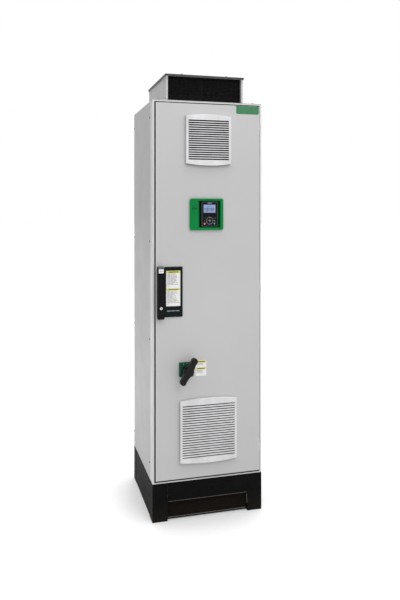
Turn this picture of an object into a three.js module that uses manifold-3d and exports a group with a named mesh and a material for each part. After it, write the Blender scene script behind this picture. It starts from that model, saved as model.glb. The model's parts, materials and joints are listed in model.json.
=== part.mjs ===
// Floor-standing variable frequency drive: a drive cabinet on a plinth, with an outlet hood on its roof.
// Millimetres, +Z up, the door faces -Y. Shapes are written from the middle of the cabinet's footprint.

import * as THREE from 'three';
import { mergeVertices } from 'three/addons/utils/BufferGeometryUtils.js';
import Module from 'manifold-3d';

const wasm = await Module();
wasm.setup();

// ---------------------------------------------------------------- driving dimensions

const WIDTH = 600;
const DEPTH = 600;
const PLINTH_HEIGHT = 200;
const BODY_HEIGHT = 2000;
const HOOD_HEIGHT = 150;

const GAP = 0.3;              // air between pieces that lie against each other
const SHEET = 2;              // sheet metal of panels and door
const FRAME_EDGE = 9.5;       // front edge of the frame that shows round the door
const FRAME_WALL = 30;        // frame section, seen from the front
const FRAME_POST = 60;        // depth of the front posts
const RAIL = 37;              // side and rear frame sections

const DOOR_WIDTH = 568;
const DOOR_HEIGHT = 1966;
const DOOR_DEPTH = 30;
const DOOR_PROUD = 12;        // door front ahead of the frame's front
const DOOR_RETURN = 12;       // folded edge on the back of the door
const GASKET_WIDTH = 8;

const HANDLE_REACH = 74;      // rotary handle ahead of the door's front

// ---------------------------------------------------------------- planes that several pieces share

const HALF_W = WIDTH / 2;
const HALF_D = DEPTH / 2;
const FRONT = -HALF_D;
const FLOOR = PLINTH_HEIGHT + GAP;
const TOP = PLINTH_HEIGHT + BODY_HEIGHT;
const HOOD_TOP = TOP + HOOD_HEIGHT;
const DOOR_FRONT = FRONT - DOOR_PROUD;
const DOOR_BACK = DOOR_FRONT + DOOR_DEPTH;
const DOOR_BOTTOM = PLINTH_HEIGHT + 18;
const DOOR_TOP = DOOR_BOTTOM + DOOR_HEIGHT;
const HALF_DOOR = DOOR_WIDTH / 2;
const SEAL_PLANE = DOOR_BACK + 8;
const ROOF_SHEET = 3;
const FRAME_TOP = TOP - ROOF_SHEET - GAP;
const REAR_POST_FRONT = HALF_D - 13 - RAIL;

// ---------------------------------------------------------------- materials

const look = (color, roughness, metalness = 0) => ({ color, roughness, metalness });
const LIGHT_PAINT = look(0xc9c8c6, 0.55);
const LID_PAINT = look(0x4e4e50, 0.55);
const FRAME_PAINT = look(0xd6d5d3, 0.5);
const BLACK_PAINT = look(0x151515, 0.7);
const GALVANISED = look(0xb4b8ba, 0.45, 0.9);
const STEEL = look(0x9a9a98, 0.35, 1.0);
const BLACK_PLASTIC = look(0x1b1a1f, 0.5);
const WHITE_PLASTIC = look(0xe8e6e2, 0.5);
const GREY_PLASTIC = look(0x6f7376, 0.55);
const GREEN_PLASTIC = look(0x008245, 0.45);
const RED_PLASTIC = look(0xb03038, 0.4);
const SLATE_PLASTIC = look(0x2a3942, 0.5);
const DARK_PLASTIC = look(0x3e3e40, 0.6);
const RUBBER = look(0x202020, 0.9);

// ---------------------------------------------------------------- solids

// One closed body from a three.js geometry, for joining and cutting.
function solid(geometry) {
  const bare = geometry.clone();
  bare.deleteAttribute('normal');
  bare.deleteAttribute('uv');
  const merged = mergeVertices(bare, 1e-3);
  return new wasm.Manifold(new wasm.Mesh({
    numProp: 3,
    vertProperties: merged.attributes.position.array,
    triVerts: Uint32Array.from(merged.index.array),
  }));
}

function geometryOf(body) {
  const mesh = body.getMesh();
  const geometry = new THREE.BufferGeometry();
  geometry.setAttribute('position', new THREE.BufferAttribute(mesh.vertProperties.slice(), 3));
  geometry.setIndex(new THREE.BufferAttribute(mesh.triVerts.slice(), 1));
  geometry.computeVertexNormals();
  return geometry;
}

function join(...pieces) {
  return geometryOf(pieces.map(solid).reduce((sum, piece) => sum.add(piece)));
}

function cut(base, ...tools) {
  return geometryOf(tools.map(solid).reduce((rest, tool) => rest.subtract(tool), solid(base)));
}

// A box given by its limits in X, Y and Z.
function block([x0, x1], [y0, y1], [z0, z1]) {
  const box = new THREE.BoxGeometry(x1 - x0, y1 - y0, z1 - z0);
  return box.translate((x0 + x1) / 2, (y0 + y1) / 2, (z0 + z1) / 2);
}

// A box in the middle of the cabinet, as wide each way as its half width.
function centred(half, y, z) {
  return block([-half, half], y, z);
}

// A disc or rod along Y, standing on the point (x, z).
function rodY(radius, x, z, [y0, y1], sides = 24) {
  return new THREE.CylinderGeometry(radius, radius, y1 - y0, sides).translate(x, (y0 + y1) / 2, z);
}

// A disc or rod along Z, standing on the point (x, y).
function rodZ(radius, x, y, [z0, z1], sides = 24) {
  return new THREE.CylinderGeometry(radius, radius, z1 - z0, sides)
    .rotateX(Math.PI / 2)
    .translate(x, y, (z0 + z1) / 2);
}

// A flat outline in X and Z, made solid from y0 back to y1.
function plate(outline, [y0, y1], curveSegments = 6) {
  return new THREE.ExtrudeGeometry(outline, { depth: y1 - y0, bevelEnabled: false, curveSegments })
    .rotateX(Math.PI / 2)
    .translate(0, y1, 0);
}

function roundedRect(x, z, width, height, radius) {
  const [w, h] = [width / 2 - radius, height / 2 - radius];
  const outline = new THREE.Shape();
  outline.absarc(x + w, z - h, radius, -Math.PI / 2, 0);
  outline.absarc(x + w, z + h, radius, 0, Math.PI / 2);
  outline.absarc(x - w, z + h, radius, Math.PI / 2, Math.PI);
  outline.absarc(x - w, z - h, radius, Math.PI, Math.PI * 1.5);
  outline.closePath();
  return outline;
}

// ---------------------------------------------------------------- scene graph

const drive = new THREE.Group();
const [plinth, cabinet, hood, interior, door, terminal] = Array.from({ length: 6 }, () => new THREE.Group());
drive.add(plinth, cabinet, hood, interior, door);
door.add(terminal);

function add(group, name, finish, geometry) {
  const mesh = new THREE.Mesh(geometry, new THREE.MeshStandardMaterial(finish));
  mesh.name = name;
  group.add(mesh);
  return mesh;
}

// Limits in rising order, whichever side of the cabinet they are on.
function span(a, b) {
  return [Math.min(a, b), Math.max(a, b)];
}

// ---------------------------------------------------------------- plinth

const CORNER = 80;
const CORNER_WALL = 4;
const PANEL_INSET = 1;
const PANEL_FOLD = 15;
const INLET_HEIGHT = 100;
const INLET_RECESS = 14;
const PANEL_HALF = HALF_W - CORNER - GAP;
const PANEL_FACE = FRONT + PANEL_INSET;

// One corner: two walls, a foot and a head, with the hole for the bolt to the frame and to the floor.
function plinthCorner(sideX, sideY) {
  const x = (inward) => sideX * (HALF_W - inward);
  const y = (inward) => sideY * (HALF_D - inward);
  const across = span(x(0), x(CORNER));
  const deep = span(y(0), y(CORNER));
  const shell = join(
    block(span(x(0), x(CORNER_WALL)), deep, [0, PLINTH_HEIGHT]),
    block(across, span(y(0), y(CORNER_WALL)), [0, PLINTH_HEIGHT]),
    block(across, deep, [0, CORNER_WALL]),
    block(across, deep, [PLINTH_HEIGHT - CORNER_WALL, PLINTH_HEIGHT]),
  );
  return cut(shell, rodZ(7, x(CORNER / 2), y(CORNER / 2), [-1, PLINTH_HEIGHT + 1], 16));
}

for (const [row, sideY] of [['front', -1], ['rear', 1]]) {
  for (const [column, sideX] of [['left', -1], ['right', 1]]) {
    add(plinth, `plinth_corner_${row}_${column}`, BLACK_PAINT, plinthCorner(sideX, sideY));
  }
}

// A sheet that faces -Y between two corners, folded back along its top and bottom edges.
function plinthPanel([low, high]) {
  const face = [PANEL_FACE, PANEL_FACE + SHEET];
  const fold = [PANEL_FACE, PANEL_FACE + PANEL_FOLD];
  return join(
    centred(PANEL_HALF, face, [low, high]),
    centred(PANEL_HALF, fold, [low, low + SHEET]),
    centred(PANEL_HALF, fold, [high - SHEET, high]),
  );
}

add(plinth, 'plinth_front_panel', BLACK_PAINT, plinthPanel([INLET_HEIGHT, PLINTH_HEIGHT - GAP]));

const closedPanel = cut(
  plinthPanel([SHEET, PLINTH_HEIGHT - GAP]),
  centred(HALF_W, [PANEL_FACE - 1, PANEL_FACE + 1], [INLET_HEIGHT - 1, INLET_HEIGHT + 1]),
);
const PANEL_TURNS = {
  plinth_left_panel: -Math.PI / 2,
  plinth_rear_panel: Math.PI,
  plinth_right_panel: Math.PI / 2,
};
for (const [name, turn] of Object.entries(PANEL_TURNS)) {
  add(plinth, name, BLACK_PAINT, closedPanel.clone()).rotation.z = turn;
}

// Air inlet below the front panel: a slotted sheet set back behind the corners.
function inletScreen() {
  const face = [FRONT + INLET_RECESS, FRONT + INLET_RECESS + SHEET];
  const half = PANEL_HALF + 15;
  const height = [CORNER_WALL + 1, INLET_HEIGHT - GAP];
  const reach = [FRONT + CORNER_WALL + GAP, face[1]];
  const sheet = join(
    centred(half, face, height),
    block([-half, SHEET - half], reach, height),
    block([half - SHEET, half], reach, height),
  );
  const slots = Array.from({ length: 20 }, (_, i) => {
    const x = (i - 9.5) * 21;
    return block([x - 8, x + 8], [face[0] - 1, face[1] + 1], [height[0] + 8, height[1] - 8]);
  });
  return cut(sheet, ...slots);
}

add(plinth, 'plinth_inlet_screen', BLACK_PAINT, inletScreen());

// ---------------------------------------------------------------- cabinet frame and panels

const GUTTER = HALF_W - FRAME_EDGE - HALF_DOOR;
const GUTTER_BELOW = 10.5;
const FLANGE = 4;
const FLANGE_INSIDE = 240;
const RING_BACK = FRONT + FRAME_POST;
const POST_OUTSIDE = HALF_W - 13;
const RAIL_INSIDE = POST_OUTSIDE - RAIL;
const RAIL_HEIGHT = 40;
const SEAL_INSIDE = HALF_W - FRAME_WALL;
const SEAL_BOTTOM = PLINTH_HEIGHT + FRAME_WALL;
const SEAL_TOP = TOP - FRAME_WALL;
const FRAME_HEIGHT = [FLOOR, FRAME_TOP];

// Ring round the door: its front edge, the gutter behind that edge and the plane that the gasket meets.
function frontRing() {
  return cut(
    centred(HALF_W, [FRONT, RING_BACK], FRAME_HEIGHT),
    centred(HALF_DOOR + GUTTER, [FRONT - 1, SEAL_PLANE], [DOOR_BOTTOM - GUTTER_BELOW, DOOR_TOP + GUTTER]),
    centred(SEAL_INSIDE, [FRONT - 1, RING_BACK + 1], [SEAL_BOTTOM, SEAL_TOP]),
  );
}

function flangeRing(height) {
  const [low, high] = height;
  return cut(
    centred(HALF_W, [FRONT, HALF_D], height),
    centred(FLANGE_INSIDE, [RING_BACK + FLANGE, FLANGE_INSIDE], [low - 1, high + 1]),
  );
}

function enclosureFrame() {
  const rearPost = [REAR_POST_FRONT, REAR_POST_FRONT + RAIL];
  const railHeights = [[FLOOR, FLOOR + RAIL_HEIGHT], [FRAME_TOP - RAIL_HEIGHT, FRAME_TOP]];
  const pieces = [
    frontRing(),
    flangeRing([FLOOR, FLOOR + FLANGE]),
    flangeRing([FRAME_TOP - FLANGE, FRAME_TOP]),
  ];
  for (const height of railHeights) {
    pieces.push(centred(POST_OUTSIDE, rearPost, height));
  }
  for (const side of [-1, 1]) {
    const across = span(side * RAIL_INSIDE, side * POST_OUTSIDE);
    pieces.push(block(across, rearPost, FRAME_HEIGHT));
    for (const height of railHeights) {
      pieces.push(block(across, [RING_BACK - 1, rearPost[1]], height));
    }
  }
  return join(...pieces);
}

// A panel with all four edges folded inward, facing +X at the cabinet's side.
const PANEL_HEIGHT = [FLOOR + FLANGE + GAP, FRAME_TOP - FLANGE - GAP];
const PANEL_DEPTH = 12;

function sidePanel(side) {
  const [low, high] = PANEL_HEIGHT;
  const from = RING_BACK + GAP;
  return cut(
    block(span(side * (HALF_W - PANEL_DEPTH), side * HALF_W), [from, HALF_D], PANEL_HEIGHT),
    block(
      span(side * (HALF_W - PANEL_DEPTH - 1), side * (HALF_W - SHEET)),
      [from + SHEET, HALF_D - SHEET],
      [low + SHEET, high - SHEET],
    ),
  );
}

function rearPanel() {
  const [low, high] = PANEL_HEIGHT;
  const half = HALF_W - PANEL_DEPTH - GAP;
  return cut(
    centred(half, [HALF_D - PANEL_DEPTH, HALF_D], PANEL_HEIGHT),
    centred(half - SHEET, [HALF_D - PANEL_DEPTH - 1, HALF_D - SHEET], [low + SHEET, high - SHEET]),
  );
}

// The air duct of the drive ends under this opening in the roof.
const DUCT_HALF = 160;
const DUCT = [-80, 200];
const DUCT_WALL = 5;

function roofPlate() {
  return cut(
    centred(HALF_W, [FRONT, HALF_D], [TOP - ROOF_SHEET, TOP]),
    centred(DUCT_HALF, DUCT, [TOP - ROOF_SHEET - 1, TOP + 1]),
  );
}

// Floor of the cabinet: an air opening behind the door and a row of cable gland holes near the rear.
const GLAND_SPACING = 80;
const GLAND_Y = 150;

function floorPlate() {
  const low = FLOOR + FLANGE + GAP;
  const through = [low - 1, low + SHEET + 1];
  const glands = [-1.5, -0.5, 0.5, 1.5].map((step) => rodZ(25, step * GLAND_SPACING, GLAND_Y, through));
  return cut(
    centred(RAIL_INSIDE - GAP, [RING_BACK + GAP, REAR_POST_FRONT - GAP], [low, low + SHEET]),
    centred(DUCT_HALF, [-200, 60], through),
    ...glands,
  );
}

add(cabinet, 'enclosure_frame', FRAME_PAINT, enclosureFrame());
add(cabinet, 'left_side_panel', LIGHT_PAINT, sidePanel(-1));
add(cabinet, 'right_side_panel', LIGHT_PAINT, sidePanel(1));
add(cabinet, 'rear_panel', LIGHT_PAINT, rearPanel());
add(cabinet, 'roof_plate', LIGHT_PAINT, roofPlate());
add(cabinet, 'floor_plate', GALVANISED, floorPlate());

// ---------------------------------------------------------------- outlet hood

const HOOD_HALF = 215;
const HOOD_FRONT = -235;
const HOOD_REAR = 260;
const HOOD_POST = 10;         // width of a post's front
const HOOD_RETURN = 22;       // depth of its fold, and the height and width of the plain borders
const LID_RIM = 11;
const LID_OVERHANG = 5;
const LID_SHEET = 2;
const HOOD_BODY_TOP = HOOD_TOP - LID_SHEET - GAP;

function hoodBody() {
  const base = TOP + GAP;
  const height = [base, HOOD_BODY_TOP];
  const postFace = [HOOD_FRONT, HOOD_FRONT + SHEET];
  const opening = HOOD_HALF - HOOD_POST;
  const footInside = HOOD_HALF - HOOD_RETURN;
  const walls = cut(
    centred(HOOD_HALF, [HOOD_FRONT, HOOD_REAR], height),
    centred(HOOD_HALF - SHEET, [HOOD_FRONT - 1, HOOD_REAR - SHEET], [base - 1, HOOD_TOP]),
  );
  const footRing = cut(
    centred(HOOD_HALF, [HOOD_FRONT, HOOD_REAR], [base, base + SHEET]),
    centred(footInside, [HOOD_FRONT + HOOD_RETURN, HOOD_REAR - HOOD_RETURN], [base - 1, base + SHEET + 1]),
  );
  const posts = [-1, 1].flatMap((side) => [
    block(span(side * opening, side * HOOD_HALF), postFace, height),
    block(span(side * opening, side * (opening + SHEET)), [HOOD_FRONT, HOOD_FRONT + HOOD_RETURN], height),
  ]);
  const header = centred(HOOD_HALF, postFace, [HOOD_TOP - LID_RIM, HOOD_BODY_TOP]);
  const shell = join(walls, footRing, header, ...posts);
  const insets = [-1, 1].map((side) => block(
    span(side * (HOOD_HALF - 1), side * (HOOD_HALF + 1)),
    [HOOD_FRONT + HOOD_RETURN, HOOD_REAR - HOOD_RETURN],
    [base + HOOD_RETURN / 2, HOOD_TOP - LID_RIM - SHEET],
  ));
  return cut(shell, ...insets);
}

function hoodLid() {
  const half = HOOD_HALF + LID_OVERHANG;
  const [front, rear] = [HOOD_FRONT - LID_OVERHANG, HOOD_REAR + LID_OVERHANG];
  const low = HOOD_TOP - LID_RIM;
  return cut(
    centred(half, [front, rear], [low, HOOD_TOP]),
    centred(half - LID_SHEET, [front + LID_SHEET, rear - LID_SHEET], [low - 1, HOOD_TOP - LID_SHEET]),
  );
}

// Screen behind the front opening, with a plain lip below and a plain strip left of the middle.
function hoodScreen() {
  const front = HOOD_FRONT + HOOD_RETURN + GAP;
  const [low, high] = [TOP + 16, HOOD_BODY_TOP - 4];
  const slot = 7;
  const slots = [];
  for (let x = -184; x <= 184; x += 2 * slot) {
    if (Math.abs(x + 18) > slot) {
      slots.push(block([x - slot / 2, x + slot / 2], [front - 1, front + SHEET + 1], [low + 24, high - 14]));
    }
  }
  return cut(centred(HOOD_HALF - 4, [front, front + SHEET], [low, high]), ...slots);
}

add(hood, 'hood_body', LIGHT_PAINT, hoodBody());
add(hood, 'hood_lid', LID_PAINT, hoodLid());
add(hood, 'hood_screen', BLACK_PAINT, hoodScreen());

// ---------------------------------------------------------------- inside the cabinet

const PLATE_BACK = REAR_POST_FRONT - GAP;
const PLATE_FRONT = PLATE_BACK - 3;
const DEVICE_BACK = PLATE_FRONT - GAP;
const ROTARY_X = -124.5;
const ROTARY_Z = 791;

const MODULE_HALF = 170;
const MODULE_FRONT = -90;
const MODULE_BOTTOM = 1000;
const MODULE_TOP = 1900;
const MODULE_WALL = 10;
const CHANNEL = [30, 236];
const FAN_Y = (CHANNEL[0] + CHANNEL[1]) / 2;
const FAN_BORE = 96;
const FAN_DEPTH = 60;
const FAN_HUB = 34;
const FAN_BLADE = { length: 60, chord: 40, thickness: 2.5, count: 7, pitch: Math.PI / 5 };
const FAN_MOTOR = { radius: 30, height: 8 };
const AXLE = { radius: 6, top: 35 };
const FIN = { count: 13, pitch: 23, thickness: 3, below: 150, above: 100, short: 60 };

// Drive module: electronics tray in front, cooling channel with its fins behind, duct up to the roof.
function driveModule() {
  const inside = MODULE_HALF - DUCT_WALL;
  const duct = [DUCT[0] - DUCT_WALL, DUCT[1] + DUCT_WALL];
  const innerTop = MODULE_TOP - MODULE_WALL;
  const shell = cut(
    join(
      centred(MODULE_HALF, [MODULE_FRONT, DEVICE_BACK], [MODULE_BOTTOM, MODULE_TOP]),
      centred(DUCT_HALF + DUCT_WALL, duct, [MODULE_TOP - 1, FRAME_TOP]),
    ),
    centred(inside, [MODULE_FRONT - 1, CHANNEL[0] - MODULE_WALL], [MODULE_BOTTOM + MODULE_WALL, innerTop]),
    centred(DUCT_HALF, CHANNEL, [MODULE_BOTTOM + FAN_DEPTH, innerTop]),
    centred(DUCT_HALF, [CHANNEL[0], DUCT[1]], [innerTop - 1, MODULE_TOP + 1]),
    centred(DUCT_HALF, DUCT, [MODULE_TOP, TOP]),
    rodZ(FAN_BORE, 0, FAN_Y, [MODULE_BOTTOM - 1, MODULE_BOTTOM + FAN_DEPTH + 1], 32),
  );
  const finDepth = [CHANNEL[0] - 1, CHANNEL[1] - FIN.short];
  const finHeight = [MODULE_BOTTOM + FIN.below, MODULE_TOP - FIN.above];
  const fins = Array.from({ length: FIN.count }, (_, i) => {
    const x = (i - (FIN.count - 1) / 2) * FIN.pitch;
    return block([x - FIN.thickness / 2, x + FIN.thickness / 2], finDepth, finHeight);
  });
  const { radius, height } = FAN_MOTOR;
  const strut = centred(FAN_BORE + 2, [FAN_Y - 8, FAN_Y + 8], [MODULE_BOTTOM, MODULE_BOTTOM + height - 2]);
  const motor = rodZ(radius, 0, FAN_Y, [MODULE_BOTTOM, MODULE_BOTTOM + height]);
  const axle = rodZ(AXLE.radius, 0, FAN_Y, [MODULE_BOTTOM + height - 1, MODULE_BOTTOM + AXLE.top], 16);
  return join(shell, strut, motor, axle, ...fins);
}

const DRIVE_COVER = { depth: 28, inset: 2, wall: 3 };
const VENT = { count: 8, pitch: 16, height: 8, below: 60, margin: 40 };

function driveCover() {
  const { depth, inset, wall } = DRIVE_COVER;
  const half = MODULE_HALF - inset;
  const [low, high] = [MODULE_BOTTOM + wall, MODULE_TOP - wall];
  const front = MODULE_FRONT - depth;
  const vents = Array.from({ length: VENT.count }, (_, i) => {
    const top = high - VENT.below - i * VENT.pitch + VENT.height / 2;
    return centred(half - VENT.margin, [front - 1, front + wall + 1], [top - VENT.height, top]);
  });
  return cut(
    centred(half, [front, MODULE_FRONT - GAP], [low, high]),
    centred(half - wall, [front + wall, MODULE_FRONT], [low + wall, high - wall]),
    ...vents,
  );
}

// Rotor that spins on the drive module's axle, about Z.
function fanRotor() {
  const { length, chord, thickness, count, pitch } = FAN_BLADE;
  const height = [MODULE_BOTTOM + FAN_MOTOR.height + 1, MODULE_BOTTOM + FAN_MOTOR.height + 1 + 36];
  const blades = Array.from({ length: count }, (_, i) => new THREE.BoxGeometry(length, thickness, chord)
    .rotateX(pitch)
    .translate(FAN_HUB - 6 + length / 2, 0, (height[0] + height[1]) / 2)
    .rotateZ((i * 2 * Math.PI) / count)
    .translate(0, FAN_Y, 0));
  const rotor = join(rodZ(FAN_HUB, 0, FAN_Y, height), ...blades);
  return cut(rotor, rodZ(AXLE.radius + 0.6, 0, FAN_Y, [height[0] - 1, MODULE_BOTTOM + AXLE.top + 3], 16));
}

// Disconnector that the rotary handle turns through a long square shaft.
const SWITCH_FRONT = 110;
const SWITCH = { halfWidth: 68, halfHeight: 80, boss: 26, bossDepth: 20, pole: 44, poleHalf: 16 };
const SHAFT_HALF = 5;
const SHAFT_HOLE = SHAFT_HALF + 3;
const SHAFT = [-262, SWITCH_FRONT + 30];

function mainSwitch() {
  const { halfWidth, halfHeight, boss, bossDepth, pole, poleHalf } = SWITCH;
  const front = SWITCH_FRONT + bossDepth;
  const poles = [-1, 1].flatMap((end) => [-1, 0, 1].map((step) => {
    const x = ROTARY_X + step * pole;
    const inner = ROTARY_Z + end * (halfHeight - 20);
    return block([x - poleHalf, x + poleHalf], [front + 20, DEVICE_BACK + 1], span(inner, inner + end * 30));
  }));
  const body = join(
    block(
      [ROTARY_X - halfWidth, ROTARY_X + halfWidth],
      [front, DEVICE_BACK],
      [ROTARY_Z - halfHeight, ROTARY_Z + halfHeight],
    ),
    rodY(boss, ROTARY_X, ROTARY_Z, [SWITCH_FRONT, front + 1]),
  );
  return cut(body, rodY(SHAFT_HOLE, ROTARY_X, ROTARY_Z, [SWITCH_FRONT - 1, SHAFT[1] + 3], 16), ...poles);
}

const FUSE = { pitch: 66, half: 24, tall: 40, front: 160, back: 212 };
const FUSE_TAG = { half: 12, tall: 75, front: 190 };
const FUSE_BASE = { x: [10, 220], front: 220, halfHeight: 90 };

function fuseBlock() {
  const { x: [left, right], front, halfHeight } = FUSE_BASE;
  const fuses = [-1, 0, 1].flatMap((pole) => {
    const x = (left + right) / 2 + pole * FUSE.pitch;
    return [
      block(
        [x - FUSE.half, x + FUSE.half],
        [FUSE.front, FUSE.back],
        [ROTARY_Z - FUSE.tall, ROTARY_Z + FUSE.tall],
      ),
      block(
        [x - FUSE_TAG.half, x + FUSE_TAG.half],
        [FUSE_TAG.front, front + 1],
        [ROTARY_Z - FUSE_TAG.tall, ROTARY_Z + FUSE_TAG.tall],
      ),
    ];
  });
  return join(
    block([left, right], [front, DEVICE_BACK], [ROTARY_Z - halfHeight, ROTARY_Z + halfHeight]),
    ...fuses,
  );
}

const TERMINAL_BASE = { half: 160, front: 226, z: [340, 460] };
const LUG = { half: 18, front: 190, z: [380, 440] };
const TAIL = { half: 15, y: [196, 204], low: 320 };

function motorTerminals() {
  const { half, front, z } = TERMINAL_BASE;
  const lugs = [-1.5, -0.5, 0.5, 1.5].flatMap((step) => {
    const x = step * GLAND_SPACING;
    return [
      block([x - LUG.half, x + LUG.half], [LUG.front, front + 1], LUG.z),
      block([x - TAIL.half, x + TAIL.half], TAIL.y, [TAIL.low, LUG.z[0] + 1]),
    ];
  });
  return join(centred(half, [front, DEVICE_BACK], z), ...lugs);
}

add(
  interior,
  'mounting_plate',
  GALVANISED,
  centred(SEAL_INSIDE - 2, [PLATE_FRONT, PLATE_BACK], [PLINTH_HEIGHT + 60, TOP - 60]),
);
add(interior, 'drive_module', STEEL, driveModule());
add(interior, 'drive_cover', GREY_PLASTIC, driveCover());
add(interior, 'cooling_fan_rotor', BLACK_PLASTIC, fanRotor());
add(interior, 'main_switch', GREY_PLASTIC, mainSwitch());
add(interior, 'switch_shaft', STEEL, block(
  [ROTARY_X - SHAFT_HALF, ROTARY_X + SHAFT_HALF],
  SHAFT,
  [ROTARY_Z - SHAFT_HALF, ROTARY_Z + SHAFT_HALF],
));
add(interior, 'fuse_block', WHITE_PLASTIC, fuseBlock());
add(interior, 'motor_terminals', GREY_PLASTIC, motorTerminals());

// ---------------------------------------------------------------- door

// The field is the louvred part, and open is the open share of the louvres' pitch.
const UPPER_GRILLE = {
  x: -5, z: 1993, width: 246, height: 272, field: [221, 214], slots: 18, open: 0.58, cutout: 223,
};
const LOWER_GRILLE = {
  x: -5, z: 465, width: 308, height: 340, field: [285, 280], slots: 22, open: 0.47, cutout: 291,
};
const POCKET = { x: [-62, 63], z: [1529, 1677] };
const HINGE_X = 287.3;
const HINGE_Y = -306;
const HINGE_LEVELS = { top: 2060, middle: 1199, bottom: 338 };
const KNUCKLE = 25;
const HANDLE_X = -262.5;
const HANDLE_Z = 1314;

function squareHole(grille) {
  const half = grille.cutout / 2;
  const across = [grille.x - half, grille.x + half];
  return block(across, [DOOR_FRONT - 1, DOOR_FRONT + SHEET + 1], [grille.z - half, grille.z + half]);
}

function doorPanel() {
  const skin = [DOOR_FRONT - 1, DOOR_FRONT + SHEET + 1];
  const windows = Object.values(HINGE_LEVELS).map((z) => block(
    [HALF_DOOR - SHEET - 1, HALF_DOOR + 1],
    [DOOR_FRONT + SHEET, HINGE_Y + 3.5],
    [z - GAP, z + KNUCKLE + 1],
  ));
  return cut(
    centred(HALF_DOOR, [DOOR_FRONT, DOOR_BACK], [DOOR_BOTTOM, DOOR_TOP]),
    centred(
      HALF_DOOR - SHEET,
      [DOOR_FRONT + SHEET, DOOR_BACK - SHEET],
      [DOOR_BOTTOM + SHEET, DOOR_TOP - SHEET],
    ),
    centred(
      HALF_DOOR - DOOR_RETURN,
      [DOOR_BACK - SHEET - 1, DOOR_BACK + 1],
      [DOOR_BOTTOM + DOOR_RETURN, DOOR_TOP - DOOR_RETURN],
    ),
    squareHole(UPPER_GRILLE),
    squareHole(LOWER_GRILLE),
    block(POCKET.x, skin, POCKET.z),
    rodY(20, ROTARY_X, ROTARY_Z, skin),
    rodY(12, HANDLE_X, HANDLE_Z, skin),
    ...windows,
  );
}

function doorGasket() {
  const half = HALF_DOOR - 3;
  const [low, high] = [DOOR_BOTTOM + 3, DOOR_TOP - 3];
  const reach = [DOOR_BACK + GAP, SEAL_PLANE - GAP];
  return cut(
    centred(half, reach, [low, high]),
    centred(half - GASKET_WIDTH, [reach[0] - 1, reach[1] + 1], [low + GASKET_WIDTH, high - GASKET_WIDTH]),
  );
}

// Perforated tubes that stiffen the door from inside: two uprights and three cross bars.
function doorStiffener() {
  const tube = [DOOR_FRONT + SHEET + GAP, DOOR_FRONT + 22];
  const [low, high] = [DOOR_BOTTOM + 30, DOOR_TOP - 30];
  const bars = [700, 1240, 1780].map((z) => centred(215.5, tube, [z - 10, z + 10]));
  const uprights = [-1, 1].map((side) => block(span(side * 215, side * 235), tube, [low, high]));
  const holes = [-1, 1].flatMap((side) => Array.from({ length: 12 }, (_, i) => {
    const z = low + 80 + i * 150;
    return block(span(side * 221, side * 229), [tube[0] - 1, tube[1] + 1], [z - 12, z + 12]);
  }));
  return cut(join(...bars, ...uprights), ...holes);
}

// Frame half of a hinge: an arm on the sealing plane, the lower knuckle and the pin.
function hingeBracket(z) {
  const lower = [z - KNUCKLE, z - GAP];
  return join(
    block([HINGE_X - 2.3, HINGE_X + 2.9], [HINGE_Y, SEAL_PLANE - GAP], lower),
    rodZ(3.2, HINGE_X, HINGE_Y, lower, 16),
    rodZ(1.9, HINGE_X, HINGE_Y, [z - 10, z + KNUCKLE - 3], 16),
  );
}

// Door half: the upper knuckle, its arm through the door's edge and a strap inside that edge.
function hingeLeaf(z) {
  const upper = [z, z + KNUCKLE];
  const leaf = join(
    rodZ(3.2, HINGE_X, HINGE_Y, upper, 16),
    block([HALF_DOOR - 5, HINGE_X], [HINGE_Y - 3.2, HINGE_Y + 2.5], [z, z + KNUCKLE]),
    block([HALF_DOOR - 5, HALF_DOOR - SHEET - GAP], [HINGE_Y - 3.2, DOOR_BACK - 5], [z - 20, z + 45]),
  );
  return cut(leaf, rodZ(2.3, HINGE_X, HINGE_Y, [z - 1, z + KNUCKLE + 1], 16));
}

add(door, 'door_panel', LIGHT_PAINT, doorPanel());
add(door, 'door_gasket', RUBBER, doorGasket());
add(door, 'door_stiffener', GALVANISED, doorStiffener());
for (const [level, z] of Object.entries(HINGE_LEVELS)) {
  add(cabinet, `hinge_bracket_${level}`, STEEL, hingeBracket(z));
  add(door, `hinge_leaf_${level}`, STEEL, hingeLeaf(z));
}

// ---------------------------------------------------------------- filter grilles

const FILTER_RIM = 3;
const COVER_PROUD = 20;
const COVER_FACE = 5;
const COVER_ARCH = 10;
const COVER_WALL = 4;
const LOUVRE_SLOPE = Math.PI / 26;
const COVER_FRONT = DOOR_FRONT - COVER_PROUD;
const RIM_FRONT = DOOR_FRONT - GAP - FILTER_RIM;

// Straight sides, with the top and bottom edges arched outward. A margin shrinks it all round.
function archedOutline({ x, z, width, height }, margin) {
  const [w, h] = [width / 2 - margin, height / 2 - margin];
  const outline = new THREE.Shape();
  outline.moveTo(x - w, z - h + COVER_ARCH);
  outline.quadraticCurveTo(x, z - h - COVER_ARCH, x + w, z - h + COVER_ARCH);
  outline.lineTo(x + w, z + h - COVER_ARCH);
  outline.quadraticCurveTo(x, z + h + COVER_ARCH, x - w, z + h - COVER_ARCH);
  outline.closePath();
  return outline;
}

// Cover with sloped louvres cut through its thick face, hollow behind.
function grilleCover(grille) {
  const [fieldWidth, fieldHeight] = grille.field;
  const pitch = fieldHeight / grille.slots;
  const slots = Array.from({ length: grille.slots }, (_, i) => {
    const z = grille.z + (i - (grille.slots - 1) / 2) * pitch;
    return new THREE.BoxGeometry(fieldWidth, 3 * COVER_FACE, pitch * grille.open)
      .rotateX(LOUVRE_SLOPE)
      .translate(grille.x, COVER_FRONT + COVER_FACE / 2, z);
  });
  const back = RIM_FRONT - GAP;
  return cut(
    plate(archedOutline(grille, 0), [COVER_FRONT, back]),
    plate(archedOutline(grille, COVER_WALL), [COVER_FRONT + COVER_FACE, back + 1]),
    ...slots,
  );
}

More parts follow.
